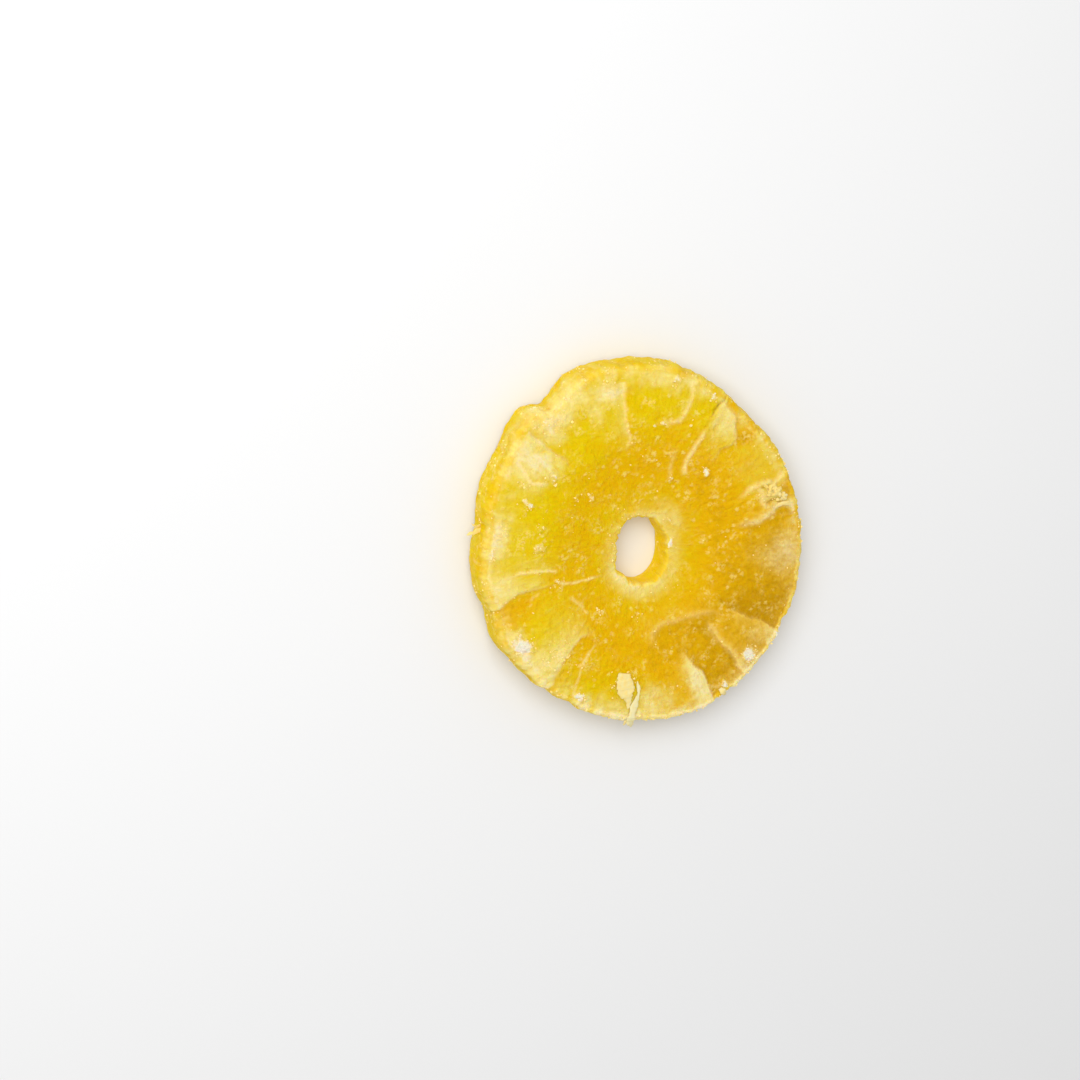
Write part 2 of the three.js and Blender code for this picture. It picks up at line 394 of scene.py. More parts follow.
# The patches of each cover: angle, radius, half sizes round and outwards, and strength.
PATCH_ROWS = {
    Cover.SUGAR: (
        (217, 34.6, 3.2, 2.3, 1.0), (231, 31.0, 3.4, 3.6, 0.5), (226, 37.2, 3.0, 1.2, 0.85),
        (315.4, 37.9, 1.7, 2.0, 1.0), (302.5, 40.0, 0.9, 1.6, 0.9), (67, 36.0, 1.3, 1.5, 0.8),
        (82, 37.6, 1.6, 1.1, 0.7), (104, 37.4, 3.0, 1.4, 0.5), (127, 34.6, 3.4, 3.2, 0.35),
        (130, 37.5, 3.6, 2.4, 0.6), (264.5, 31.5, 2.4, 3.0, 0.5), (20.5, 31.8, 1.6, 2.6, 0.35),
        (146, 27.0, 0.9, 1.6, 0.6), (143, 27.4, 0.7, 0.7, 0.8), (152.5, 33.4, 0.7, 1.4, 0.6),
        (157.7, 30.0, 0.7, 0.9, 0.7), (172, 33.8, 2.6, 1.6, 0.4), (158.4, 29.0, 0.9, 0.9, 0.8),
        (179, 35.6, 3.4, 0.9, 0.7), (358, 7.9, 1.3, 0.9, 1.0), (40, 8.0, 3.0, 0.7, 0.6),
        (85, 28.1, 0.9, 0.6, 0.8), (89, 27.8, 0.8, 0.6, 0.8), (50.3, 21.2, 0.8, 0.8, 0.9),
        (200.6, 21.0, 1.0, 0.8, 0.8), (168, 25.2, 1.5, 1.2, 0.5), (177.5, 24.6, 0.7, 2.0, 0.6),
        (145, 19.6, 1.6, 1.0, 0.5), (138, 16.2, 1.6, 0.7, 0.6), (238, 17.5, 1.6, 0.9, 0.6),
        (271, 16.2, 1.3, 0.7, 0.5), (247, 37.0, 2.4, 1.0, 0.9), (68, 15.3, 1.0, 0.6, 0.7),
    ),
    Cover.PALE: (
        (143, 32.8, 3.6, 5.8, 1.0), (174, 35.0, 6.5, 3.0, 0.9), (193.5, 34.5, 3.4, 4.4, 0.6),
        (229, 33.0, 3.4, 6.0, 0.5), (221, 36.6, 9.0, 2.4, 1.0), (262, 36.8, 6.0, 2.2, 0.5),
        (277, 36.5, 4.4, 4.4, 0.7), (293.6, 35.5, 2.0, 6.5, 0.8), (321, 37.2, 4.0, 3.0, 0.4),
        (354, 35.0, 6.0, 7.5, 0.75), (38, 9.0, 5.0, 3.0, 0.5), (20, 31.5, 2.0, 2.8, 0.7),
        (34, 35.5, 8.0, 3.0, 0.5), (36, 30.5, 6.0, 6.0, 0.22), (57, 32.0, 3.4, 4.6, 0.6),
        (72, 36.8, 3.4, 2.2, 0.6), (87, 37.4, 6.0, 1.8, 0.6), (106, 36.0, 5.0, 2.0, 0.9),
        (118, 37.0, 6.0, 2.2, 0.7), (113, 33.0, 2.0, 4.0, 0.5), (129, 36.4, 5.0, 4.4, 1.0),
        (268, 38.6, 9.0, 1.8, 0.8), (285, 39.6, 9.0, 1.5, 0.7), (340, 38.4, 22.0, 1.2, 0.45),
    ),
    Cover.DEEP: (
        (333, 31.5, 5.6, 9.5, 0.6), (318, 30.0, 3.0, 6.5, 0.75), (304, 31.0, 3.4, 7.0, 0.6),
        (285.5, 28.0, 4.4, 8.0, 0.6), (205, 31.5, 3.4, 7.0, 0.4), (46.5, 33.0, 1.8, 3.5, 0.6),
        (19.5, 35.6, 2.4, 1.5, 0.9), (16, 31.8, 0.6, 2.4, 0.9), (9, 33.2, 1.6, 2.2, 0.7),
    ),
}
PATCHES = tuple(Patch(cover, *row) for cover, rows in PATCH_ROWS.items() for row in rows)


def around(waves: tuple[Wave, ...], angle: Array) -> Array:
    """The sum of the waves at an angle: height times the cosine of count times the turn from crest."""
    return sum(w.height * np.cos(np.radians(w.count * (angle - w.crest))) for w in waves)


def lumps(items: tuple[Lump, ...], angle: Array) -> Array:
    """The sum of the lumps at an angle: each is a bell of the turn from its middle."""
    return sum(i.height * bell(turn_between(i.angle, angle) / i.half_width) for i in items)


def polar(radius: Array | float, angle: Array | float) -> Array:
    """Places in the plane, last axis 2, from their radius and angle."""
    turn = np.radians(angle)
    return np.stack([radius * np.cos(turn), radius * np.sin(turn)], -1)


def curve_through(points: Array, per_span: int = 6) -> Array:
    """A smooth curve through points, where each span is a cubic whose slopes come from its neighbours.

    Args:
        points: places, shape (n, dimensions).
        per_span: how many steps each span takes.

    Returns:
        The places along the curve.
    """
    padded = np.vstack([2 * points[0] - points[1], points, 2 * points[-1] - points[-2]])
    share = np.arange(per_span)[:, None, None] / per_span
    before, here, after, beyond = padded[:-3], padded[1:-2], padded[2:-1], padded[3:]
    spans = 0.5 * (
        2 * here
        + (after - before) * share
        + (2 * before - 5 * here + 4 * after - beyond) * share**2
        + (3 * here - before - 3 * after + beyond) * share**3
    )
    return np.vstack([spans.transpose(1, 0, 2).reshape(-1, points.shape[1]), points[-1:]])


def along_curve(places: Array, curve: Array) -> tuple[Array, Array]:
    """How far places lie to the left of a curve, and how far along it, by its nearest segment.

    Args:
        places: shape (n, 2).
        curve: shape (m, 2).

    Returns:
        The signed distance to the curve, and the share of its length at the nearest point.
    """
    nearest = np.full(len(places), np.inf)
    side = np.zeros(len(places))
    share = np.zeros(len(places))
    lengths = np.linalg.norm(np.diff(curve, axis=0), axis=1)
    ends = np.concatenate([[0.0], np.cumsum(lengths)])
    for index, length in enumerate(lengths):
        direction = (curve[index + 1] - curve[index]) / length
        offset = places - curve[index]
        forward = np.clip(offset @ direction, 0.0, length)
        away = offset - forward[:, None] * direction
        distance = np.hypot(away[:, 0], away[:, 1])
        closer = distance < nearest
        nearest = np.where(closer, distance, nearest)
        side = np.where(closer, direction[0] * offset[:, 1] - direction[1] * offset[:, 0], side)
        share = np.where(closer, (ends[index] + forward) / ends[-1], share)
    return nearest * np.sign(side), share


# --- The form of the ring ---


@dataclass
class Fields:
    """What varies over the ring's surface, one number a place in each array."""

    relief: Array
    line: Array
    pale: Array
    deep: Array
    # The painted shade in the cracks.
    dark: Array
    sugar: Array
    # A painted glow: light that shines through the flesh, and a lift in its shade.
    lit: Array

    @classmethod
    def blank(cls, shape: tuple[int, ...]) -> "Fields":
        """Fields of that shape that are all nought."""
        return cls(*(np.zeros(shape) for _ in range(7)))

    def add_creases(self, creases: tuple[Crease, ...], places: Array) -> None:
        """Adds creases to the fields.

        With d the distance to the crease, its relief is half its step times tanh(d / rise), fading
        with d, less its groove and plus its lip, each a bell of d. Milk and amber fade with d on
        their own sides, and each thins the other.

        Args:
            creases: what to add.
            places: where the fields are, shape (n, 2).
        """
        uneven = places + CREASE_SHIFT * plane_noise(places, 1.7, (17, 19))
        for crease in creases:
            points = np.array([polar(radius, angle) for radius, angle in crease.path])
            distance, share = along_curve(uneven, curve_through(points))
            strength = smooth(share, 0.0, crease.start) * (1.0 - smooth(share, 1.0 - crease.end, 1.0 + 1e-6))
            near = bell(distance / crease.width) * strength
            fading = np.exp(-np.abs(distance) / STEP_FADE)
            self.relief += strength * 0.5 * crease.step * np.tanh(distance / STEP_RISE) * fading
            self.relief += near * (crease.lip - crease.groove)
            np.maximum(self.line, crease.line * near, out=self.line)
            np.maximum(self.dark, crease.dark * near, out=self.dark)
            milky = smooth(distance * (-1.0 if crease.pale < 0.0 else 1.0), -0.15, 0.2)
            reaching = np.exp(-np.abs(distance) / crease.reach) * strength
            clear = crease.deep * (1.0 - milky) * reaching
            milk = abs(crease.pale) * milky * reaching
            self.pale = (self.pale * (1.0 - clear) + milk) / (1.0 + milk * self.pale)
            self.deep = self.deep * (1.0 - milk) + 0.55 * clear

    def add_patches(self, patches: tuple[Patch, ...], places: Array) -> None:
        """Lays patches over the fields.

        A patch is exp(-d^2.4) of the oval distance d to its middle, read at places that noise has
        shifted, so that its edge is uneven.

        Args:
            patches: what to lay.
            places: where the fields are, shape (n, 2).
        """
        uneven = places + PATCH_SHIFT * plane_noise(places, 3.0, (11, 23))
        radius = radius_of(uneven)
        angle = np.degrees(np.arctan2(uneven[:, 1], uneven[:, 0]))
        for patch in patches:
            across = patch.radius * np.radians(turn_between(patch.angle, angle)) / patch.around
            outwards = (radius - patch.radius) / patch.outwards
            amount = patch.strength * np.exp(-((across**2 + outwards**2) ** 1.2))
            layer = getattr(self, patch.cover.value)
            np.maximum(layer, amount, out=layer)
            if patch.cover is Cover.DEEP:
                self.pale *= 1.0 - 0.7 * amount

    def shaped(self, shape: tuple[int, ...]) -> "Fields":
        """The same fields as arrays of another shape."""
        return Fields(*(layer.reshape(shape) for layer in vars(self).values()))

    def colours(self) -> dict[str, Array]:
        """The fields that the finish reads, held between 0 and 1."""
        return {name: np.clip(layer, 0.0, 1.0) for name, layer in vars(self).items() if name != "relief"}


@dataclass
class Spokes:
    """Straight lines from the hole's edge to the rim, one at each angle."""

    angle: Array
    inner: Array
    outwards: Array
    span: Array

    def at(self, along: Array) -> Array:
        """Drawn places at distances from the hole's edge, one row of distances a spoke."""
        return self.inner[:, None] + along[..., None] * self.outwards[:, None]


@dataclass
class Strip:
    """Rows of the surface across every spoke: drawn places, heights and fields."""

    flat: Array
    height: Array
    fields: Fields

    def solid(self) -> Array:
        """Drawn places with their heights, last axis 3."""
        return np.concatenate([self.flat, self.height[..., None]], -1)


def radial_noise(places: Array, width: float, length: float, seed: int) -> Array:
    """Streaks that run outwards: noise read where the angle counts much more than the radius.

    Args:
        places: drawn places, last axis 2.
        width: width of a streak at the streaks' radius.
        length: its length.
        seed: picks another pattern.

    Returns:
        One number a place, from -1 to 1.
    """
    radius = radius_of(places)[..., None]
    return noise(np.concatenate([places / radius * STREAK_RADIUS / width, radius / length], -1), 1.0, seed)


@dataclass
class RingForm:
    """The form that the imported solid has, at any fineness, drawn in millimetres."""

    mean_radius: float = 39.4
    rim_thickness: float = 10.2
    hole_thickness: float = 7.2
    hole_middle: tuple[float, float] = (0.45, -1.9)
    hole_half_width: float = 5.75
    hole_half_length: float = 7.65
    hole_long_axis: float = 105.0
    rim_rounding: float = 2.1
    hole_rounding: float = 0.8
    corner_squareness: float = 0.62
    dish_end: float = 0.72
    underside_from: float = 0.68
    underside_lift: float = 0.7
    furrow_depth: float = 0.5
    furrow_half_width: float = 2.5

    def rim(self, angle: Array) -> Array:
        """Places on the outline: the mean radius, its waves and its lumps."""
        radius = self.mean_radius + around(OUTLINE_WAVES, angle) + lumps(RIM_LUMPS, angle)
        return polar(radius, angle)

    def hole(self, angle: Array) -> Array:
        """Places on the hole's edge: an oval about the hole's middle, with its lumps."""
        turn = np.radians(angle - self.hole_long_axis)
        oval = 1.0 / np.hypot(np.cos(turn) / self.hole_half_length, np.sin(turn) / self.hole_half_width)
        return polar(oval + lumps(HOLE_LUMPS, angle), angle) + np.array(self.hole_middle)

    def spokes(self, turns: int) -> Spokes:
        """Works out spokes at even angles round the turn.

        Args:
            turns: how many.

        Returns:
            The spokes.
        """
        angle = np.arange(turns) * 360.0 / turns
        inner, outer = self.hole(angle), self.rim(angle)
        span = np.linalg.norm(outer - inner, axis=1)
        return Spokes(angle, inner, (outer - inner) / span[:, None], span)

    def corner(self, turn: Array) -> tuple[Array, Array]:
        """A squared corner from straight down (-90) over outwards (0) to straight up (90).

        Args:
            turn: degrees from outwards.

        Returns:
            How far out and how far up it is, of 1.
        """
        out, up = np.cos(np.radians(turn)), np.sin(np.radians(turn))
        power = self.corner_squareness
        return np.sign(out) * np.abs(out) ** power, np.sign(up) * np.abs(up) ** power

    def furrow(self, angle: Array) -> Array:
        """How far the seams that reach the rim draw its wall in: each by a bell of the turn to it.

        Args:
            angle: where to read it.

        Returns:
            Depths, where the deepest counts.
        """
        ends = [crease.path[-1] for crease in CREASES] + [crease.path[0] for crease in CREASES]
        turns = [turn_between(turned, angle) for radius, turned in ends if radius > FURROW_FROM]
        return self.furrow_depth * np.max([bell(turn / self.furrow_half_width) for turn in turns], 0)

    def height(self, share: Array, angle: Array) -> Array:
        """The upper face's height without its relief: it rises from the hole to the level part."""
        rise = self.rim_thickness - self.hole_thickness + around(THICKNESS_WAVES, angle)
        return self.hole_thickness + rise * smooth(share, 0.0, self.dish_end)


# --- Nodes of a material ---


class Value:
    """A number in a material. Each operator adds the Math node that works it out."""

    def __init__(self, nodes: "Nodes", socket: bpy.types.NodeSocket) -> None:
        """Wraps a socket of a material's nodes."""
        self.nodes = nodes
        self.socket = socket

    def _math(self, operation: str, *numbers: "Value | float") -> "Value":
        """Adds a Math node of that operation."""
        node = self.nodes.add("ShaderNodeMath", dict(enumerate(numbers)), operation=operation)
        return Value(self.nodes, node.outputs[0])

    def __add__(self, other: "Value | float") -> "Value":
        """This number plus another."""
        return self._math("ADD", self, other)

    __radd__ = __add__

    def __sub__(self, other: "Value | float") -> "Value":
        """This number less another."""
        return self._math("SUBTRACT", self, other)

    def __rsub__(self, other: "Value | float") -> "Value":
        """Another number less this one."""
        return self._math("SUBTRACT", other, self)

    def __mul__(self, other: "Value | float") -> "Value":
        """This number times another."""
        return self._math("MULTIPLY", self, other)

    __rmul__ = __mul__

    def __abs__(self) -> "Value":
        """This number without its sign."""
        return self._math("ABSOLUTE", self)

    def eased(self, low: float, high: float) -> "Value":
        """0 at low, 1 at high, eased between and held beyond."""
        inputs = {0: self, 1: low, 2: high}
        node = self.nodes.add("ShaderNodeMapRange", inputs, interpolation_type="SMOOTHSTEP")
        return Value(self.nodes, node.outputs[0])

    def held(self) -> "Value":
        """This number held between 0 and 1."""
        return Value(self.nodes, self.nodes.add("ShaderNodeClamp", {0: self}).outputs[0])


class Nodes:
    """Builds the nodes of one material round a Principled shader."""

    def __init__(self, name: str) -> None:
        """Makes an empty material of that name."""
        self.material = bpy.data.materials.new(name)
        self.material.use_nodes = True
        self.tree = self.material.node_tree
        self.tree.nodes.clear()
        self.place = self.add("ShaderNodeTexCoord").outputs["Object"]

    def add(self, kind: str, inputs: dict[str | int, Any] | None = None, **settings: Any) -> bpy.types.Node:
        """Adds a node.

        Args:
            kind: the node's type.
            inputs: a value or a link for each named or numbered input.
            settings: the node's own settings, which are set first.

        Returns:
            The node.
        """
        node = self.tree.nodes.new(kind)
        for setting, choice in settings.items():
            setattr(node, setting, choice)
        for key, given in (inputs or {}).items():
            source = given.socket if isinstance(given, Value) else given
            if isinstance(source, bpy.types.NodeSocket):
                self.tree.links.new(source, node.inputs[key])
            else:
                node.inputs[key].default_value = source
        return node

    def field(self, name: str) -> Value:
        """The number that the mesh carries under a name."""
        return Value(self, self.add("ShaderNodeAttribute", attribute_name=name).outputs["Fac"])

    def course(self) -> bpy.types.NodeSocket:
        """The place that the mesh carries for patterns that run along its fibres."""
        return self.add("ShaderNodeAttribute", attribute_name="course").outputs["Vector"]

    def noise(self, size: float, detail: float = 2.0, place: bpy.types.NodeSocket | None = None,
              distortion: float = 0.0) -> Value:
        """Noise about 0.5.

        Args:
            size: size of its blobs, in the units of the place that it reads.
            detail: how many finer layers it has.
            place: the place that it reads, or the object's own.
            distortion: how much its blobs are twisted.

        Returns:
            The noise.
        """
        source = self.place if place is None else place
        inputs = {"Vector": source, "Scale": 1.0 / size, "Detail": detail, "Distortion": distortion}
        return Value(self, self.add("ShaderNodeTexNoise", inputs).outputs[0])

    def threads(self, size: float, width: float) -> Value:
        """Thin curling lines: 1 where twisted noise crosses its middle, and 0 beyond width of it."""
        return 1.0 - abs(self.noise(size, distortion=0.8) - 0.5).eased(0.0, width)

    def warped(self, size: float, reach: float) -> bpy.types.NodeSocket:
        """The object's own place, shifted every way by noise.

        Args:
            size: size of the noise, in metres.
            reach: how far it shifts, in metres.

        Returns:
            The place.
        """
        shift = self.add("ShaderNodeTexNoise", {"Vector": self.place, "Scale": 1.0 / size}).outputs["Color"]
        inputs = {0: shift, 1: (reach,) * 3, 2: self.place}
        return self.add("ShaderNodeVectorMath", inputs, operation="MULTIPLY_ADD").outputs[0]

    def dots(self, spacing: float, radius: float, share: float, place: bpy.types.NodeSocket) -> Value:
        """Specks at scattered points.

        Args:
            spacing: distance between the points, in metres.
            radius: radius of a speck, in spacings.
            share: share of the points that have one.
            place: the place that they are read at.

        Returns:
            1 in the middle of a speck and 0 off it.
        """
        node = self.add("ShaderNodeTexVoronoi", {"Vector": place, "Scale": 1.0 / spacing})
        chosen = 1.0 - Value(self, node.outputs["Color"]).eased(share - 0.1, share + 0.1)
        return (1.0 - Value(self, node.outputs["Distance"]).eased(0.4 * radius, radius)) * chosen

    def mix(self, amount: Value, first: Any, second: Any) -> bpy.types.NodeSocket:
        """A colour between two.

        Args:
            amount: share of the second one.
            first: a colour or a link.
            second: a colour or a link.

        Returns:
            The mixed colour.
        """
        colours = [(*c, 1.0) if isinstance(c, tuple) else c for c in (first, second)]
        node = self.add("ShaderNodeMix", {0: amount, 6: colours[0], 7: colours[1]}, data_type="RGBA")
        return node.outputs[2]

    def bump(self, height: Value, depth: float) -> bpy.types.NodeSocket:
        """A normal bent by a height, of which 1 is depth in metres."""
        return self.add("ShaderNodeBump", {"Height": height, "Distance": depth}).outputs[0]

    def finish(self, inputs: dict[str | int, Any]) -> bpy.types.Material:
        """Joins the shader to the output.

        Args:
            inputs: a value or a link for each input of the Principled shader.

        Returns:
            The finished material.
        """
        shader = self.add("ShaderNodeBsdfPrincipled", inputs)
        self.add("ShaderNodeOutputMaterial", {0: shader.outputs[0]})
        return self.material


# --- Finishes ---


@dataclass(frozen=True)
class FleshFinish:
    """Candied flesh: clear yellow, milky towards the rim, amber where it is clearest, sugared in places, with
    painted glow and shade.
    """

    lemon: Colour = (0.755, 0.55, 0.0)
    gold: Colour = (0.76, 0.435, 0.0)
    amber: Colour = (0.55, 0.29, 0.0)
    milk: Colour = (0.87, 0.74, 0.28)
    deep_milk: Colour = (0.68, 0.42, 0.10)
    cream: Colour = (0.86, 0.75, 0.45)
    vein: Colour = (0.93, 0.73, 0.30)
    crumb: Colour = (0.98, 0.78, 0.24)
    # Painted shade in the cracks.
    brown: Colour = (0.46, 0.25, 0.0)
    frost: Colour = (0.94, 0.73, 0.24)
    sugar: Colour = (0.91, 0.86, 0.68)
    # The colour of the painted glow.
    lit: Colour = (1.0, 0.62, 0.0)
    glow: tuple[float, float, float] = (1.0, 0.62, 0.08)
    glow_depth: float = 0.0030
    glow_share: float = 0.6

    def material(self) -> bpy.types.Material:
        """Builds the material: the fields of the surface, broken up by noise, choose between the colours."""
        nodes = Nodes("candied_flesh")
        course = nodes.course()
        streaks = nodes.noise(1.0, 3.0, course)
        blotches = nodes.noise(0.0023, 3.0)
        crumbs = nodes.noise(0.0009, 2.0)
        fine = nodes.noise(0.00035, 1.0)
        pale_field = nodes.field("pale")
        cover = nodes.field("sugar")
        # The crumbs are also the bump: where they rise the flesh is paler and where they sink it is deeper
        # amber, partly mottle and partly painted light and shade.
        unrest = (blotches - 0.5) + (streaks - 0.5) * 0.8 + (crumbs - 0.5) * 0.5
        pale = (pale_field + unrest * (0.1 + 0.9 * pale_field)).eased(0.0, 1.05)
        deep = nodes.field("deep") - (blotches - 0.5) * 0.4 - (crumbs - 0.5) * 0.5
        clusters = nodes.noise(0.0045, 2.0).eased(0.42, 0.62)
        line = (nodes.field("line") * (1.5 * crumbs + 0.4 * blotches - 0.05)).held()
        broken = nodes.noise(0.0006, 1.0).eased(0.36, 0.6)
        wisps = nodes.threads(0.0040, 0.13) * nodes.noise(0.0030, 1.0).eased(0.44, 0.62)
        wisps = wisps * (0.2 + 0.8 * clusters) * broken
        uneven = nodes.warped(0.00045, 0.0010)
        specks = nodes.dots(0.0013, 0.50, 0.36, uneven) * (0.1 + 0.9 * clusters)
        specks = (specks + nodes.dots(0.0026, 0.26, 0.30, uneven)).held()
        sugar = (cover * (0.1 + 1.8 * crumbs) + (fine - 0.5) * 0.6 * cover).eased(0.28, 0.8)
        base = nodes.mix((deep * 2.0).held(), self.lemon, self.gold)
        base = nodes.mix((deep * 2.0 - 1.0).held(), base, self.amber)
        milk = nodes.mix((pale_field * 2.5 - 1.7 + unrest).held(), self.milk, self.cream)
        base = nodes.mix(pale, base, nodes.mix((deep * 1.6 - 0.6).held(), milk, self.deep_milk))
        base = nodes.mix((wisps + specks).held() * (0.5 - 0.3 * pale_field), base, self.crumb)
        base = nodes.mix(line, base, self.vein)
        # Painted shade: brown down in the cracks.
        base = nodes.mix(nodes.field("dark"), base, self.brown)
        base = nodes.mix(sugar, base, nodes.mix(cover.eased(0.5, 0.9), self.frost, self.sugar))
        relief = streaks * 0.3 + crumbs * (0.7 + 0.8 * cover) + fine * 0.2 + specks * 0.15 + wisps * 0.2
        return nodes.finish({
            "Base Color": base,
            "Roughness": (0.46 + 0.25 * sugar + 0.1 * pale + 0.16 * (crumbs - 0.5)).held(),
            "Normal": nodes.bump(relief, 0.00058),
            "IOR": 1.40,
            "Specular IOR Level": 0.07,
            # Painted glow: emission that follows the painted glow field and stands for light shining through
            # the flesh.
            "Emission Color": nodes.mix(nodes.field("lit"), (0.0, 0.0, 0.0), self.lit),
            "Emission Strength": 0.13,
            "Subsurface Weight": self.glow_share,
            "Subsurface Radius": self.glow,
            "Subsurface Scale": self.glow_depth,
        })


@dataclass(frozen=True)
class SugarFinish:
    """Sugar grains: off-white and a little glassy, yellower where they have soaked, with a weak painted glow.
    """

    dry: Colour = (0.85, 0.80, 0.63)
    soaked: Colour = (0.97, 0.77, 0.26)
    # The colour of the painted glow.
    glint: Colour = (1.0, 0.75, 0.25)

    def material(self) -> bpy.types.Material:
        """Builds the material: noise of a few grains' size picks how soaked each grain is."""
        nodes = Nodes("sugar")
        soaked = (0.6 + 0.8 * nodes.noise(0.0008, 1.0)).held() * (1.0 - nodes.field("heap"))
        shine = nodes.noise(0.0003, 1.0)
        return nodes.finish({
            "Base Color": nodes.mix(soaked, self.dry, self.soaked),
            "Roughness": 0.22 + 0.3 * shine,
            "Normal": nodes.bump(shine, 0.00003),
            "IOR": 1.5,
            "Specular IOR Level": 0.25,
            # A weak painted glow that lifts the grains' shaded sides.
            "Emission Color": (*self.glint, 1.0),
            "Emission Strength": 0.05,
        })


@dataclass(frozen=True)
class FibreFinish:
    """Torn fibre: dry and cream-white, with darker threads along it."""

    cream: Colour = (0.81, 0.74, 0.41)
    thread: Colour = (0.91, 0.66, 0.16)

    def material(self) -> bpy.types.Material:
        """Builds the material: threads from noise that is stretched along the shred."""
        nodes = Nodes("torn_fibre")
        threads = nodes.noise(1.0, 3.0, nodes.course())
        mottle = nodes.noise(0.0008, 2.0)
        wet = (threads * 0.5 + mottle * 0.4 + nodes.field("soak") * 0.9 - 0.25).eased(0.1, 0.9)
        return nodes.finish({
            "Base Color": nodes.mix(wet, self.cream, self.thread),
            "Roughness": 0.6 + 0.2 * mottle,
            "Normal": nodes.bump(threads + mottle * 0.5, 0.00012),
            "IOR": 1.4,
            "Specular IOR Level": 0.3,
            "Subsurface Weight": 0.15,
            "Subsurface Radius": (1.0, 0.75, 0.3),
            "Subsurface Scale": 0.0002,
        })


@dataclass(frozen=True)
class FloorFinish:
    """A plain pale table."""

    white: Colour = (0.84, 0.84, 0.84)
    grey: Colour = (0.82, 0.82, 0.82)

    def material(self) -> bpy.types.Material:
        """Builds the material: two near whites in broad, hardly visible clouds."""
        nodes = Nodes("pale_table")
        return nodes.finish({
            "Base Color": nodes.mix(nodes.noise(0.25, 2.0), self.white, self.grey),
            "Roughness": 0.75,
            "IOR": 1.3,
        })


# --- Meshes ---


def make_piece(name: str, places: Array, faces: Array, material: bpy.types.Material, smooth_faces: bool,
               layers: dict[str, Array] | None = None) -> bpy.types.Object:
    """Puts places and faces into an object at the origin.

    Args:
        name: the piece's name.
        places: vertices in metres, shape (n, 3).
        faces: vertex numbers, shape (faces, corners).
        material: its finish.
        smooth_faces: whether light runs smoothly over the edges.
        layers: what the finish reads at each vertex, by name: one number, or three.

    Returns:
        The object.
    """
    mesh = bpy.data.meshes.new(name)
    corners = faces.shape[1]
    mesh.vertices.add(len(places))
    mesh.vertices.foreach_set("co", places.astype(np.float32).ravel())
    mesh.loops.add(faces.size)
    mesh.loops.foreach_set("vertex_index", faces.astype(np.int32).ravel())
    mesh.polygons.add(len(faces))
    mesh.polygons.foreach_set("loop_start", np.arange(0, faces.size, corners, dtype=np.int32))
    mesh.polygons.foreach_set("use_smooth", np.full(len(faces), smooth_faces))
    mesh.update(calc_edges=True)
    for layer_name, numbers in (layers or {}).items():
        kind, key = ("FLOAT", "value") if numbers.ndim == 1 else ("FLOAT_VECTOR", "vector")
        layer = mesh.attributes.new(layer_name, kind, "POINT")
        layer.data.foreach_set(key, numbers.astype(np.float32).ravel())
    mesh.materials.append(material)
    piece = bpy.data.objects.new(name, mesh)
    bpy.context.scene.collection.objects.link(piece)
    return piece


def ride_as(piece: bpy.types.Object) -> None:
    """Lets a piece ride on the ring's body, and reports it.

    Args:
        piece: the piece.
    """
    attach(piece, BODY)
    log.info("%s: %d faces", piece.name, len(piece.data.polygons))


def closed_grid_faces(turns: int, rows: int) -> Array:
    """Faces of a grid that closes on itself both ways, as on a doughnut, in order turn by turn.

    Args:
        turns: how many vertices there are round the hole.
        rows: how many there are round the section.

    Returns:
        Vertex numbers, shape (turns * rows, 4).
    """
    turn, row = np.meshgrid(np.arange(turns), np.arange(rows), indexing="ij")
    next_turn, next_row = (turn + 1) % turns, (row + 1) % rows
    corners = [turn * rows + row, next_turn * rows + row, next_turn * rows + next_row, turn * rows + next_row]
    return np.stack(corners, -1).reshape(-1, 4)


def tubes(rings: Array) -> tuple[Array, Array]:
    """Closes tubes: rings of corners along each one, with a fan to a middle point at both ends.

    Args:
        rings: corners, shape (tubes, rings, corners, 3), anticlockwise seen from the last ring.

    Returns:
        The vertices, shape (n, 3), and the triangles.
    """
    count, length, sides, _ = rings.shape
    tips = np.stack([rings[:, 0].mean(1), rings[:, -1].mean(1)], 1)
    places = np.concatenate([rings.reshape(count, -1, 3), tips], 1)
    step, side = np.meshgrid(np.arange(length - 1), np.arange(sides), indexing="ij")
    here, beside = step * sides + side, step * sides + (side + 1) % sides
    walls = np.stack([here, beside, beside + sides, here, beside + sides, here + sides], -1).reshape(-1, 3)
    edge = np.arange(sides)
    after = (edge + 1) % sides
    last = (length - 1) * sides
    first_cap = np.stack([after, edge, np.full(sides, length * sides)], -1)
    last_cap = np.stack([last + edge, last + after, np.full(sides, length * sides + 1)], -1)
    one = np.concatenate([walls, first_cap, last_cap])
    faces = one + (np.arange(count) * places.shape[1])[:, None, None]
    return places.reshape(-1, 3), faces.reshape(-1, 3)


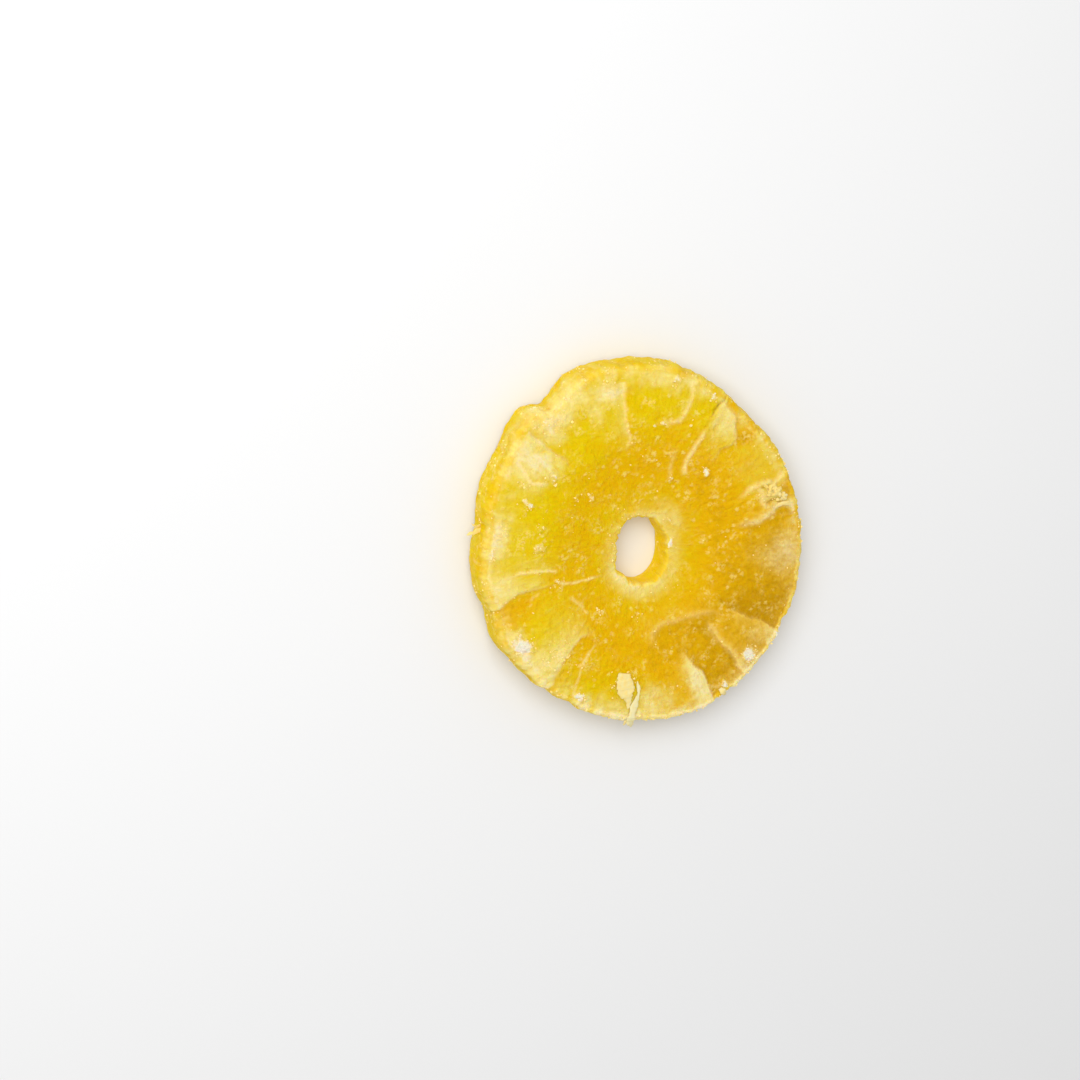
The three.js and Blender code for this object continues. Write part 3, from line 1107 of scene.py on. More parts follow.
@dataclass
class Flesh:
    """The ring's flesh: one closed surface over the whole section, round the whole turn."""

    form: RingForm
    finish: FleshFinish = field(default_factory=FleshFinish)
    turns: int = 720
    underside_rows: int = 24
    rim_rows: int = 26
    face_rows: int = 74
    hole_rows: int = 12
    top_stride: int = 3
    places: Array = field(init=False)
    layers: dict[str, Array] = field(init=False)
    normals: Array = field(init=False)
    areas: Array = field(init=False)

    def __post_init__(self) -> None:
        """Works out the surface from its four strips, and its normals from its neighbours' places."""
        spokes = self.form.spokes(self.turns)
        face = self.face(spokes)
        underside = self.underside(spokes)
        strips = (underside, self.rim(spokes, underside, face), face, self.hole(spokes, face))
        self.places = np.concatenate([strip.solid() for strip in strips], 1)
        colours = [strip.fields.colours() for strip in strips]
        self.layers = {name: np.concatenate([c[name] for c in colours], 1) for name in colours[0]}
        across = np.roll(self.places, -1, 0) - np.roll(self.places, 1, 0)
        up = np.roll(self.places, -1, 1) - np.roll(self.places, 1, 1)
        normals = np.cross(across, up)
        self.areas = np.linalg.norm(normals, axis=-1) / 4.0
        self.normals = normals / (4.0 * self.areas[..., None])

    def rim_tooth(self, spokes: Spokes) -> Array:
        """How far the rim's upper edge stands out at each spoke, from small uneven teeth."""
        edge = level(spokes.at(spokes.span[:, None])[:, 0])
        return 0.30 * layered_noise(edge, 2.6, 151, 4) + 0.24 * noise(edge, 0.9, 157)

    def hole_tooth(self, spokes: Spokes) -> Array:
        """How far the hole's upper edge is eaten away at each spoke, by small uneven teeth."""
        edge = level(spokes.inner)
        return 0.30 * layered_noise(edge, 1.7, 163, 3) + 0.34 * noise(edge, 0.6, 167)

    def face(self, spokes: Spokes) -> Strip:
        """The upper face from the rim to the hole, with everything that is drawn on it.

        Args:
            spokes: the lines from the hole to the rim.

        Returns:
            The strip, from the rim inwards.
        """
        start, end = self.form.hole_rounding, spokes.span - self.form.rim_rounding
        down = np.linspace(0.0, 1.0, self.face_rows)
        along = end[:, None] + (start - end)[:, None] * down * (0.7 + 0.3 * down)
        share = along / spokes.span[:, None]
        to_rim = bell((end[:, None] - along) / 1.2) * self.rim_tooth(spokes)[:, None]
        to_hole = bell((along - start) / 0.8) * self.hole_tooth(spokes)[:, None]
        flat = spokes.at(along + to_rim + to_hole)
        places = flat.reshape(-1, 2)
        drawn = self.cloud_face(flat, share, spokes.angle[:, None]).shaped((-1,))
        drawn.add_patches(PATCHES, places)
        drawn.add_creases(CREASES, places)
        fields = drawn.shaped(share.shape)
        fields.relief += self.face_grain(flat, fields)
        return Strip(flat, self.form.height(share, spokes.angle[:, None]) + fields.relief, fields)

    def face_grain(self, flat: Array, fields: Fields) -> Array:
        """The fine relief of the face: threads of fibre that run outwards, humps, pits and crusts.

        Args:
            flat: drawn places.
            fields: the fields there.

        Returns:
            Heights to add.
        """
        solid = level(flat)
        outer = smooth(radius_of(flat), 12.0, 26.0)
        fibres = radial_noise(flat, 1.1, 6.0, 41) + 0.5 * radial_noise(flat, 0.6, 4.0, 43)
        humps = layered_noise(solid, 4.5, 47, 4)
        grain = noise(solid, 0.8, 53)
        pits = smooth(noise(solid, 1.5, 57), 0.45, 0.9)
        crust = fields.sugar * (0.16 + 0.14 * grain)
        return 0.04 * outer * fibres + 0.24 * humps + 0.07 * grain - 0.08 * pits + crust

    def cloud_face(self, flat: Array, share: Array, angle: Array) -> Fields:
        """The face's bare colours: milk that gathers at the rim and the hole, and gold between, with some
        painted shade.

        Args:
            flat: drawn places.
            share: share of the way from the hole to the rim.
            angle: angle of each spoke.

        Returns:
            The fields, in the shape of share.
        """
        solid = level(flat)
        broad = layered_noise(solid, 7.0, 61)
        clouds = layered_noise(solid, 2.6, 63)
        streaks = radial_noise(flat, 1.5, 9.0, 65) + 0.6 * radial_noise(flat, 0.8, 6.0, 66)
        outer = smooth(share, 0.2, 0.6)
        near_rim = smooth(share + 0.05 * broad + 0.04 * clouds, 0.74, 0.96)
        near_hole = 1.0 - smooth(share + 0.03 * broad + 0.03 * clouds, 0.03, 0.19)
        hole_crests = facing(2.0 * angle, 2.0 * HOLE_MILK_CREST_AT)
        hole_milk = 0.44 + 0.18 * facing(angle, HOLE_MILK_AT) + 0.12 * hole_crests
        frost = bell((share - 0.975) / 0.022) * smooth(layered_noise(solid, 2.2, 67), -0.1, 0.5)
        fields = Fields.blank(share.shape)
        milkier = 0.39 + 0.03 * facing(angle, RIM_MILK_AT)
        # Painted shade: less milk at the rim's edge at the right, where it rounds away from the window.
        milkier = milkier - 0.08 * bell(turn_between(RIM_PAINTED_SHADE_AT, angle) / 35.0)
        rim_milk = milkier * (1.0 + 0.9 * clouds + 0.3 * streaks)
        fringe = bell(share / 0.06) * smooth(clouds, -0.4, 0.5)
        paler = 0.3 * bell(turn_between(LEDGE_PALE_AT, angle) / 30.0)
        # Painted shade: less milk on the ledge where the edge faces the window, to dim the light that it
        # catches there.
        paler = paler - 0.25 * bell(turn_between(LEDGE_PAINTED_SHADE_AT, angle) / 40.0)
        ledge = (0.5 + paler) * smooth(broad + clouds, -0.7, 0.4) * bell((share - 0.972) / 0.036)
        fields.pale = np.maximum(rim_milk * near_rim + ledge, hole_milk * near_hole + 0.3 * fringe)
        clearest = bell((share - 0.38) / 0.25)
        fields.pale += 0.07 * clouds + 0.09 * outer * streaks + 0.05 * broad - 0.06 * clearest
        # Amber that grows towards the lower right, away from the window: partly the flesh's own amber and
        # partly painted shade.
        turned = facing(angle, AMBER_AND_PAINTED_SHADE_AT)
        leaning = 0.28 * outer * turned + 0.42 * smooth(share, 0.5, 0.85) * smooth(turned, 0.5, 1.0)
        fields.deep = 0.50 * bell((share - 0.38) / 0.33) + leaning + 0.14 * broad - 0.05 * outer * streaks
        fields.sugar = 0.45 * frost + (0.45 + 0.2 * facing(angle, FRINGE_SUGAR_AT)) * fringe
        return fields

    def underside(self, spokes: Spokes) -> Strip:
        """The underside: flat where it rests, lifted and seamed near the rim.

        Args:
            spokes: the lines from the hole to the rim.

        Returns:
            The strip, from the hole outwards.
        """
        form = self.form
        start, end = form.hole_rounding, spokes.span - form.rim_rounding
        along = start + (end - start)[:, None] * np.linspace(0.0, 1.0, self.underside_rows)
        share = along / spokes.span[:, None]
        flat = spokes.at(along)
        solid = level(flat)
        drawn = Fields.blank((share.size,))
        drawn.add_creases(UNDERSIDE_CREASES, flat.reshape(-1, 2))
        fields = drawn.shaped(share.shape)
        lift = smooth(share, form.underside_from, 1.0)
        fibres = radial_noise(flat, 1.5, 7.0, 71)
        clouds = layered_noise(solid, 5.0, 79)
        pits = smooth(layered_noise(solid, 3.5, 73), 0.05, 0.6)
        bulge = form.underside_lift - fields.relief + 0.3 * fibres
        height = lift * np.maximum(bulge, 0.0) + 0.22 * pits * (1.0 - lift)
        near_rim = smooth(share, 0.7, 0.97)
        near_hole = 1.0 - smooth(share, 0.03, 0.15)
        fields.pale = np.maximum(fields.pale, 0.5 * np.maximum(near_rim, near_hole)) + 0.25 * clouds
        fields.deep = np.maximum(fields.deep, 0.5 - 0.4 * near_rim) + 0.25 * fibres
        fields.sugar = 0.5 * smooth(layered_noise(solid, 2.2, 83), 0.15, 0.7)
        return Strip(flat, height, fields)

    def rim(self, spokes: Spokes, underside: Strip, face: Strip) -> Strip:
        """The rim's wall: bulging, furrowed at the seams, lumpy, pitted, and frosted at its edges, with
        painted glow and shade.

        Args:
            spokes: the lines from the hole to the rim.
            underside: the strip that it rises from.
            face: the strip that it meets at the top.

        Returns:
            The strip, from the bottom up.
        """
        form = self.form
        turn = np.tile(np.linspace(-90.0, 90.0, self.rim_rows + 2)[1:-1], (self.turns, 1))
        out, rise = form.corner(turn)
        low, high = underside.height[:, -1:], face.height[:, :1]
        height = low + (high - low) * (1.0 + rise) / 2.0
        end = (spokes.span - form.rim_rounding)[:, None]
        along = end + form.rim_rounding * out - form.furrow(spokes.angle)[:, None] * (1.0 - rise * rise)
        solid = np.concatenate([spokes.at(along), height[..., None]], -1)
        leaning = solid * np.array([1.0, 1.0, 0.3])
        lumpy = 0.34 * layered_noise(solid, 5.5, 91) + 0.14 * layered_noise(solid, 1.7, 97)
        pits = smooth(layered_noise(solid, 3.2, 99), 0.2, 0.7)
        grained = 0.16 * noise(leaning, 1.0, 101) + 0.12 * noise(solid, 0.7, 103)
        tooth = self.rim_tooth(spokes)[:, None] * (0.25 + 0.75 * smooth(rise, -0.6, 0.8))
        flat = spokes.at(along + (lumpy + grained - 0.45 * pits) * out + tooth)
        edge = smooth(rise, 0.5, 0.95) + 0.6 * (1.0 - smooth(rise, -0.98, -0.75))
        broken = smooth(layered_noise(solid, 1.6, 107), -0.2, 0.5)
        clouds = layered_noise(solid, 2.8, 109)
        carry = smooth(rise, -0.3, 1.0)
        fields = Fields.blank(rise.shape)
        upper = smooth(rise, 0.45, 1.0)
        crust = bell((rise + 0.1) / 0.4) * broken
        # Painted light: where the wall is turned from the window and shaded, its upper part takes more of the
        # face's milk, less of its amber and a little more sugar, on top of the cream that its edge has.
        shaded = smooth(facing(spokes.angle, SHADED_AT), 0.2, 0.9)[:, None]
        notch = bell(turn_between(NOTCH_AT, spokes.angle) / 18.0)[:, None] * bell((rise - 0.5) / 0.6)
        fields.pale = 0.25 * clouds + 0.3 * crust + (0.6 + 0.9 * shaded) * upper * face.fields.pale[:, :1]
        fields.pale += 0.5 * notch
        carried = (0.4 - 0.3 * shaded) * face.fields.deep[:, :1] * carry
        # Painted shade: deeper amber in the wall's pits.
        fields.deep = 0.16 - 0.25 * clouds + carried + 0.2 * pits
        # Painted glow: some on the lower wall, and more on the upper wall where it is shaded.
        fields.lit = 0.35 * (1.0 - carry) + 0.8 * shaded * carry
        fields.line = 0.4 * smooth(noise(leaning, 0.8, 113), 0.5, 0.85) * bell(rise)
        # The painted shade in the cracks runs on down the wall.
        fields.dark = face.fields.dark[:, :1] * carry
        heaped = 0.4 * smooth(clouds, 0.3, 0.7)
        fields.sugar = (0.35 * edge + 0.3 * crust) * broken + heaped + 0.1 * shaded * upper
        return Strip(flat, height, fields)

    def hole(self, spokes: Spokes, face: Strip) -> Strip:
        """The hole's wall: clear flesh, cut a little unevenly, milky at its upper edge, with a painted glow.

        Args:
            spokes: the lines from the hole to the rim.
            face: the strip that it meets at the top.

        Returns:
            The strip, from the top down.
        """
        form = self.form
        turn = np.tile(np.linspace(90.0, -90.0, self.hole_rows + 2)[1:-1], (self.turns, 1))
        out, rise = form.corner(turn)
        height = face.height[:, -1:] * (1.0 + rise) / 2.0
        along = form.hole_rounding * (1.0 - out)
        solid = np.concatenate([spokes.at(along), height[..., None]], -1)
        rough = layered_noise(solid, 2.2, 127)
        tooth = self.hole_tooth(spokes)[:, None] * smooth(rise, -0.6, 0.9)
        edge = smooth(rise, 0.3, 0.98)
        fields = Fields.blank(rise.shape)
        fields.pale = face.fields.pale[:, -1:] * edge * (0.6 + 0.8 * rough)
        fields.deep = 0.12 + 0.2 * rough
        # Painted glow over the wall, less at its upper edge: it stands for light that shines through the
        # flesh and lifts the wall's shade.
        fields.lit = 1.0 - 0.4 * edge
        return Strip(spokes.at(along + tooth + 0.15 * rough * bell(rise)), height, fields)

    def build(self, to_frame: Placing) -> None:
        """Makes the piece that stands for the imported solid.

        Args:
            to_frame: turns drawn places into the frame's metres.
        """
        layers = {name: layer.ravel() for name, layer in self.layers.items()}
        layers["course"] = course_of(self.places, 32.0, 6.0).reshape(-1, 3)
        faces = closed_grid_faces(*self.places.shape[:2])
        places = to_frame(self.places.reshape(-1, 3))
        piece = make_piece("candied_flesh", places, faces, self.finish.material(), True, layers)
        ride_as(piece)
        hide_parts(NODE)

    def top_at(self, places: Array) -> Array:
        """The height of the upper side at drawn places: that of the nearest of every few vertices there.

        Args:
            places: shape (n, 2).

        Returns:
            Heights.
        """
        first = self.underside_rows + 3 * self.rim_rows // 4
        last = self.underside_rows + self.rim_rows + self.face_rows
        upper = self.places[:, first:last].reshape(-1, 3)[:: self.top_stride]
        away = np.linalg.norm(places[:, None] - upper[None, :, :2], axis=-1)
        return upper[:, 2][away.argmin(1)]


# --- What lies on the flesh ---


@dataclass
class SugarGrains:
    """Sugar grains: small uneven crystals, thick in the sugared patches and along the edges."""

    flesh: Flesh
    finish: SugarFinish = field(default_factory=SugarFinish)
    count: int = 1300
    seed: int = 5
    smallest: float = 0.06
    largest: float = 0.19
    mostly_small: float = 2.2
    scatter: float = 0.12
    lift: float = 0.35
    stretch: tuple[float, float] = (0.5, 1.4)
    crookedness: float = 0.28

    def density(self) -> Array:
        """How thickly grains lie: more on sugar and lines, gathered by noise.

        Returns:
            One number a vertex of the flesh.
        """
        layers = self.flesh.layers
        upward = smooth(self.flesh.normals[..., 2], -0.9, 0.0)
        gathered = smooth(layered_noise(self.flesh.places, 1.8, 171), -0.05, 0.5)
        thick = 0.010 * gathered + 0.9 * layers["sugar"] ** 1.5
        thick = thick + 0.08 * layers["line"] + 0.005 * layers["pale"]
        above_table = smooth(self.flesh.places[..., 2], 0.2, 0.7)
        return self.flesh.areas * (0.15 + 0.85 * upward) * thick * above_table

    def build(self, to_frame: Placing) -> None:
        """Makes the piece: boxes with their corners shifted, turned at random and half sunk in.

        Args:
            to_frame: turns drawn places into the frame's metres.
        """
        draws = np.random.default_rng(self.seed)
        density = self.density().ravel()
        picked = draws.choice(density.size, self.count, p=density / density.sum())
        size = self.smallest + (self.largest - self.smallest) * draws.random(self.count) ** self.mostly_small
        middle = self.flesh.places.reshape(-1, 3)[picked] + draws.normal(0.0, self.scatter, (self.count, 3))
        middle += self.flesh.normals.reshape(-1, 3)[picked] * (self.lift * size)[:, None]
        corner = 2.0 * np.array(list(np.ndindex(2, 2, 2))) - 1.0
        stretch = draws.uniform(*self.stretch, (self.count, 1, 3))
        crooked = 1.0 + draws.uniform(-self.crookedness, self.crookedness, (self.count, 8, 3))
        box = corner * stretch * crooked * size[:, None, None]
        turned = np.einsum("nij,nkj->nki", random_turns(draws, self.count), box)
        sides = np.array([(0, 1, 3, 2), (4, 6, 7, 5), (0, 4, 5, 1), (2, 3, 7, 6), (0, 2, 6, 4), (1, 5, 7, 3)])
        triangles = np.concatenate([sides[:, [0, 1, 2]], sides[:, [0, 2, 3]]])
        faces = (triangles + 8 * np.arange(self.count)[:, None, None]).reshape(-1, 3)
        places = to_frame((middle[:, None] + turned).reshape(-1, 3))
        heap = np.repeat(smooth(self.flesh.layers["sugar"].ravel()[picked], 0.3, 0.8), 8)
        piece = make_piece("sugar_grains", places, faces, self.finish.material(), False, {"heap": heap})
        ride_as(piece)


def random_turns(draws: np.random.Generator, count: int) -> Array:
    """Rotation matrices from random unit quaternions.

    Args:
        draws: where the random numbers come from.
        count: how many.

    Returns:
        The matrices, shape (count, 3, 3).
    """
    quaternion = draws.normal(size=(count, 4))
    w, x, y, z = (quaternion / np.linalg.norm(quaternion, axis=1, keepdims=True)).T
    rows = [
        [1 - 2 * (y * y + z * z), 2 * (x * y - w * z), 2 * (x * z + w * y)],
        [2 * (x * y + w * z), 1 - 2 * (x * x + z * z), 2 * (y * z - w * x)],
        [2 * (x * z - w * y), 2 * (y * z + w * x), 1 - 2 * (x * x + y * y)],
    ]
    return np.array(rows).transpose(2, 0, 1)


@dataclass(frozen=True)
class Shred:
    """A torn shred along a curve: (x, y, lift above the flesh, half its width) at each point.

    Roll lifts its left edge, looking along the curve, above its right one. Soak is how much syrup it
    has taken up, from dry and white at 0 to as yellow as the flesh at 1.
    """

    path: tuple[tuple[float, float, float, float], ...]
    thickness: float = 0.22
    roll: float = 0.0
    soak: float = 0.3


SHREDS = (
    # The flap at the bottom: a broad blade, and the strand that crosses the rim to a ragged end.
    Shred(((-3.25, -28.9, 0.1, 1.5), (-3.3, -29.6, 0.15, 1.6), (-3.15, -30.9, 0.2, 1.8),
           (-2.8, -32.4, 0.2, 2.0), (-2.65, -33.6, 0.2, 1.8), (-2.2, -34.5, 0.2, 1.1),
           (-2.0, -35.8, 0.1, 0.55), (-2.1, -37.2, -0.1, 0.15)), 0.25, 0.35, 0.35),
    Shred(((0.0, -31.0, -0.1, 0.1), (0.2, -32.2, 0.1, 0.25), (0.4, -33.6, 0.15, 0.3),
           (-0.1, -35.2, 0.25, 0.55), (-0.6, -36.7, 0.3, 0.85), (-0.85, -38.0, 0.35, 0.7),
           (-1.1, -39.2, 0.4, 0.95), (-1.0, -40.6, 0.3, 0.85), (-0.6, -41.4, -0.1, 0.6),
           (-0.2, -42.2, -0.8, 0.12)), 0.45, 0.0, 0.1),
    Shred(((-1.6, -39.6, 0.1, 0.4), (-2.0, -40.6, -0.1, 0.5), (-2.1, -41.6, -0.6, 0.12)), 0.3),
    # The torn place at the right: the wavy lip.
    Shred(((29.9, 6.8, -0.2, 0.2), (31.3, 7.9, 0.0, 0.5), (32.7, 8.4, 0.1, 0.55), (34.0, 8.1, 0.0, 0.5),
           (35.3, 7.0, -0.2, 0.1)), 0.35, 0.1, 0.4),
    # Frayed ends on the rim.
    Shred(((-36.6, 4.8, -2.3, 0.45), (-37.9, 4.7, -1.9, 0.5), (-38.9, 4.3, -1.6, 0.28),
           (-39.6, 4.2, -1.6, 0.22), (-40.2, 3.9, -1.8, 0.06)), 0.4, 0.2, 0.5),
    Shred(((-37.0, 5.7, -2.4, 0.4), (-38.1, 5.6, -1.9, 0.42), (-38.8, 6.0, -1.6, 0.22),
           (-39.2, 6.4, -1.7, 0.06)), 0.35, -0.2, 0.4),
    Shred(((10.7, -38.2, 0.0, 0.3), (11.2, -39.4, -0.2, 0.35), (11.4, -40.4, -0.6, 0.12)), 0.2, 0.0, 0.4),
    Shred(((20.2, -34.2, 0.0, 0.4), (20.8, -34.8, 0.3, 0.7), (21.6, -35.4, 0.2, 0.6),
           (22.2, -36.2, -0.4, 0.2)), 0.35, 0.0, 0.3),
)


@dataclass(frozen=True)
class Tear:
    """An oval place where the flesh is torn up into crumbs: its middle, half sizes and their turn."""

    middle: tuple[float, float] = (30.4, 10.9)
    half_length: float = 2.9
    half_width: float = 1.5
    turn: float = -29.0
    count: int = 34
    seed: int = 31
    crumb_half_length: tuple[float, float] = (0.3, 0.75)
    crumb_half_width: tuple[float, float] = (0.22, 0.46)
    heading_spread: float = 40.0

    def crumbs(self) -> tuple[Shred, ...]:
        """Short thick shreds at random places in the oval, mostly along it, whiter at its outer end.

        Returns:
            The shreds.
        """
        draws = np.random.default_rng(self.seed)
        along = polar(1.0, self.turn)
        across = polar(1.0, self.turn + 90.0)
        found = []
        for _ in range(self.count):
            share = math.sqrt(draws.random())
            way = draws.uniform(0.0, 2.0 * math.pi)
            place = np.array(self.middle) + share * (
                math.cos(way) * self.half_length * along + math.sin(way) * self.half_width * across)
            heading = polar(1.0, self.turn + draws.normal(0.0, self.heading_spread))
            half = draws.uniform(*self.crumb_half_length)
            wide = draws.uniform(*self.crumb_half_width)
            ends = [place - half * heading, place, place + half * heading]
            soak = 0.5 - 0.2 * share * math.cos(way) + draws.uniform(-0.1, 0.15)
            lifts, widths = (0.0, 0.28, 0.1), (0.1, wide, 0.1)
            path = tuple((*end, lift, width) for end, lift, width in zip(ends, lifts, widths))
            found.append(Shred(path, 0.28, 0.1, soak))
        return tuple(found)


@dataclass
class TornFibre:
    """Shreds of torn fibre and the short hairs that stand on the edges, as one piece."""

    flesh: Flesh
    finish: FibreFinish = field(default_factory=FibreFinish)
    tear: Tear = field(default_factory=Tear)
    hairs: int = 130
    hair_soak: float = 0.5
    seed: int = 23
    steps: int = 10
    sides: int = 16
    hair_sides: int = 4
    hair_rings: int = 5
    hair_length: tuple[float, float] = (0.25, 0.8)
    hair_half_width: tuple[float, float] = (0.07, 0.16)
    hair_scatter: float = 0.55
    hair_bend: float = 0.35
    hair_sunk: float = 0.15
    hair_taper: float = 0.8

    def shred_rings(self, shred: Shred, index: int) -> Array:
        """Rings of corners along a shred: flat ovals across it, whose edges are ragged and ruffled.

        Args:
            shred: what to make.
            index: its number, which picks its noise.

        Returns:
            Corners, shape (1, rings, sides, 3), anticlockwise seen from the last ring.
        """
        drawn = np.array(shred.path)
        spine = curve_through(drawn, self.steps)
        spine[:, 2] += self.flesh.top_at(spine[:, :2])
        run = np.gradient(spine[:, :2], axis=0)
        across = np.column_stack([run[:, 1], -run[:, 0]]) / np.linalg.norm(run, axis=1, keepdims=True)
        turn = -np.arange(self.sides) * 2.0 * np.pi / self.sides
        reach = np.sign(np.cos(turn)) * np.abs(np.cos(turn)) ** 0.7 * spine[:, 3:]
        flat = spine[:, None, :2] + reach[..., None] * across[:, None]
        seeded = np.concatenate([flat, np.full(reach.shape + (1,), 5.0 * index)], -1)
        ragged = 0.18 * noise(seeded, 0.9, 181) + 0.18 * noise(seeded, 0.4, 183)
        flat = flat + ragged[..., None] * across[:, None] * np.cos(turn)[:, None]
        ruffle = 0.12 * noise(seeded, 1.6, 187) * np.abs(np.cos(turn)) + 0.05 * noise(seeded, 0.4, 189)
        height = spine[:, 2:3] + ruffle + 0.5 * (shred.thickness * np.sin(turn) - shred.roll * np.cos(turn))
        return np.concatenate([flat, height[..., None]], -1)[None]

    def hair_rings_at_edges(self) -> Array:
        """Rings of corners along tapered hairs that stand on the rim's and the hole's upper edges.

        Returns:
            Corners, shape (hairs, rings, sides, 3), anticlockwise seen from the last ring.
        """
        flesh = self.flesh
        draws = np.random.default_rng(self.seed)
        rows = np.arange(flesh.places.shape[1])
        top = flesh.underside_rows + flesh.rim_rows
        at_rim = bell((rows - top) / 5.0)
        at_hole = 0.12 * bell((rows - top - flesh.face_rows) / 3.0)
        covered = 0.15 + flesh.layers["sugar"] + flesh.layers["pale"]
        weight = (flesh.areas * (at_rim + at_hole) * covered).ravel()
        picked = draws.choice(weight.size, self.hairs, p=weight / weight.sum())
        root = flesh.places.reshape(-1, 3)[picked]
        lean = flesh.normals.reshape(-1, 3)[picked] + draws.normal(0.0, self.hair_scatter, (self.hairs, 3))
        lean /= np.linalg.norm(lean, axis=1, keepdims=True)
        length = draws.uniform(*self.hair_length, (self.hairs, 1, 1))
        share = np.linspace(0.0, 1.0, self.hair_rings)[None, :, None]
        bend = draws.normal(0.0, self.hair_bend, (self.hairs, 1, 3))
        spine = root[:, None] + length * (lean[:, None] * (share - self.hair_sunk) + bend * share**2)
        aside = np.cross(lean, draws.normal(size=(self.hairs, 3)))
        aside /= np.linalg.norm(aside, axis=1, keepdims=True)
        upper = np.cross(lean, aside)
        turn = np.arange(self.hair_sides) * 2.0 * np.pi / self.hair_sides
        wide = draws.uniform(*self.hair_half_width, (self.hairs, 1, 1)) * (1.0 - self.hair_taper * share)
        ring = np.cos(turn)[:, None] * aside[:, None] + np.sin(turn)[:, None] * upper[:, None]
        return spine[:, :, None] + wide[..., None] * ring[:, None]

    def build(self, to_frame: Placing) -> None:
        """Makes the piece from all shreds and hairs.

        Args:
            to_frame: turns drawn places into the frame's metres.
        """
        shreds = SHREDS + self.tear.crumbs()
        parts = [tubes(self.shred_rings(shred, index)) for index, shred in enumerate(shreds)]
        parts.append(tubes(self.hair_rings_at_edges()))
        places = np.concatenate([part[0] for part in parts])
        starts = np.cumsum([0] + [len(part[0]) for part in parts[:-1]])
        faces = np.concatenate([part[1] + start for part, start in zip(parts, starts)])
        soaks = [shred.soak for shred in shreds] + [self.hair_soak]
        soak = np.concatenate([np.full(len(part[0]), amount) for part, amount in zip(parts, soaks)])
        layers = {"course": course_of(places, 70.0, 3.0), "soak": soak}
        piece = make_piece("torn_fibre", to_frame(places), faces, self.finish.material(), True, layers)
        ride_as(piece)


# --- The table, the light and the camera ---


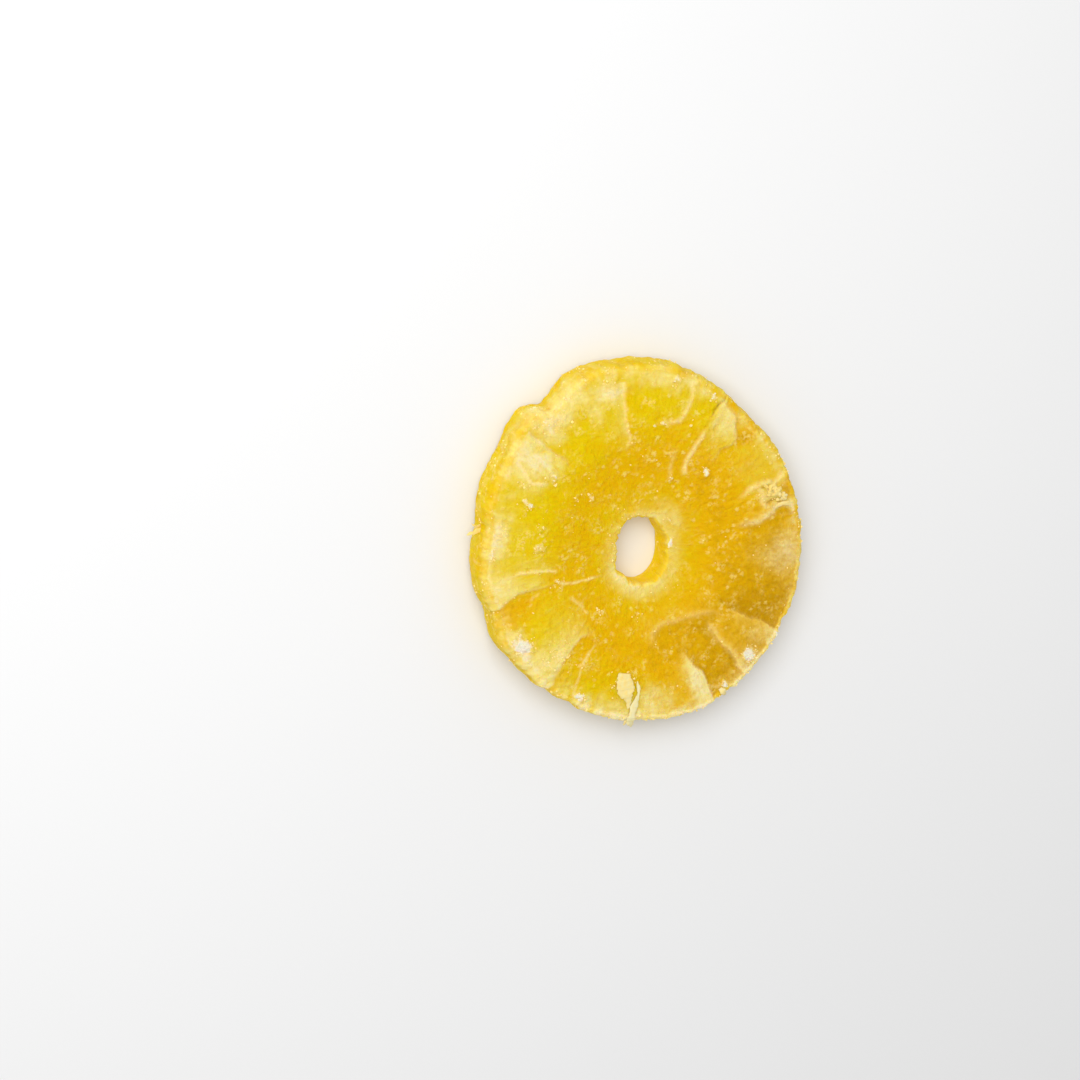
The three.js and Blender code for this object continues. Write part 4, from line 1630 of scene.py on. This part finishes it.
@dataclass
class Studio:
    """A pale table, soft light from the upper left, and the camera above the ring.

    The camera aims at this share of the ring's height. Lengths are metres, and angles are degrees.
    """

    tilt: float = 27.0
    bearing: float = 146.0
    distance: float = 0.56
    lens: float = 85.0
    aside: tuple[float, float] = (0.0222, 0.00066)
    table_half: float = 3.0
    daylight: float = 0.61
    window_power: float = 2.65
    window_size: tuple[float, float] = (0.45, 0.38)
    window_place: tuple[float, float, float] = (-0.26, 0.25, 0.50)
    aim_height: float = 0.65
    near_clip: float = 0.01
    floor: FloorFinish = field(default_factory=FloorFinish)

    def table(self) -> None:
        """Lays the table at the height on which the ring rests."""
        half = self.table_half
        rest = CAD_BOX[0].z
        corners = ((-half, -half), (half, -half), (half, half), (-half, half))
        places = np.array([(*corner, rest) for corner in corners])
        make_piece("table", places, np.array([[0, 1, 2, 3]]), self.floor.material(), False)

    def light(self) -> None:
        """Hangs a large soft window at the upper left, and fills the rest with even daylight."""
        world = bpy.data.worlds.new("daylight")
        world.use_nodes = True
        background = world.node_tree.nodes["Background"]
        background.inputs["Color"].default_value = (1.0, 1.0, 1.0, 1.0)
        background.inputs["Strength"].default_value = self.daylight
        bpy.context.scene.world = world
        window = bpy.data.lights.new("window", "AREA")
        window.shape = "RECTANGLE"
        window.size, window.size_y = self.window_size
        window.energy = self.window_power
        lamp = bpy.data.objects.new("window", window)
        lamp.location = self.window_place
        lamp.rotation_mode = "QUATERNION"
        lamp.rotation_quaternion = (-lamp.location).to_track_quat("-Z", "Y")
        bpy.context.scene.collection.objects.link(lamp)

    def camera(self) -> None:
        """Sets the camera: above the ring, leaning to the bearing by the tilt, aimed beside the ring."""
        bearing, tilt = math.radians(self.bearing), math.radians(self.tilt)
        lean = Vector((math.cos(bearing), math.sin(bearing), 0.0))
        upwards = Vector((0.0, 0.0, 1.0))
        back = lean * math.sin(tilt) + upwards * math.cos(tilt)

        def tilted(axis: Vector) -> Vector:
            """An axis of the table, turned with the camera about the line across its lean."""
            share = lean.dot(axis)
            return axis - lean * share * (1.0 - math.cos(tilt)) - upwards * share * math.sin(tilt)

        right, top = tilted(Vector((1.0, 0.0, 0.0))), tilted(Vector((0.0, 1.0, 0.0)))
        middle = Vector((0.0, 0.0, self.aim_height * CAD_BOX[1].z))
        place = middle + back * self.distance
        aim = middle - right * self.aside[0] + top * self.aside[1]
        forward = (aim - place).normalized()
        across = forward.cross(top).normalized()
        camera = bpy.data.objects.new("camera", bpy.data.cameras.new("camera"))
        camera.data.lens = self.lens
        camera.data.clip_start = self.near_clip
        turned = Matrix((across, across.cross(forward), -forward)).transposed()
        camera.matrix_world = Matrix.Translation(place) @ turned.to_4x4()
        bpy.context.scene.collection.objects.link(camera)
        bpy.context.scene.camera = camera
        bpy.context.scene.view_settings.view_transform = "Standard"


def placing(form: RingForm) -> Placing:
    """Works out how drawn places become the frame's metres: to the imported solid's width and middle.

    Args:
        form: the ring's form, whose outline is measured.

    Returns:
        A function from drawn places, last axis 3, to metres.
    """
    outline = form.rim(np.arange(0.0, 360.0, 0.5))
    low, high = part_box(NODE)
    drawn_low, drawn_high = outline.min(0), outline.max(0)
    scale = (high.x - low.x) / (drawn_high[0] - drawn_low[0])
    drawn_middle = np.array([*(drawn_low + drawn_high) / 2.0, 0.0])
    middle = np.array([(low.x + high.x) / 2.0, (low.y + high.y) / 2.0, low.z])

    def to_frame(drawn: Array) -> Array:
        """Drawn millimetres to metres in the frame."""
        return (drawn - drawn_middle) * scale + middle

    return to_frame


def main() -> None:
    """Builds the studio and each piece in order, and reports each one."""
    logging.basicConfig(level=logging.INFO, format="%(message)s")
    studio = Studio()
    studio.camera()
    studio.light()
    studio.table()
    form = RingForm()
    to_frame = placing(form)
    flesh = Flesh(form)
    flesh.build(to_frame)
    SugarGrains(flesh).build(to_frame)
    TornFibre(flesh).build(to_frame)


if __name__ == "__main__":
    main()
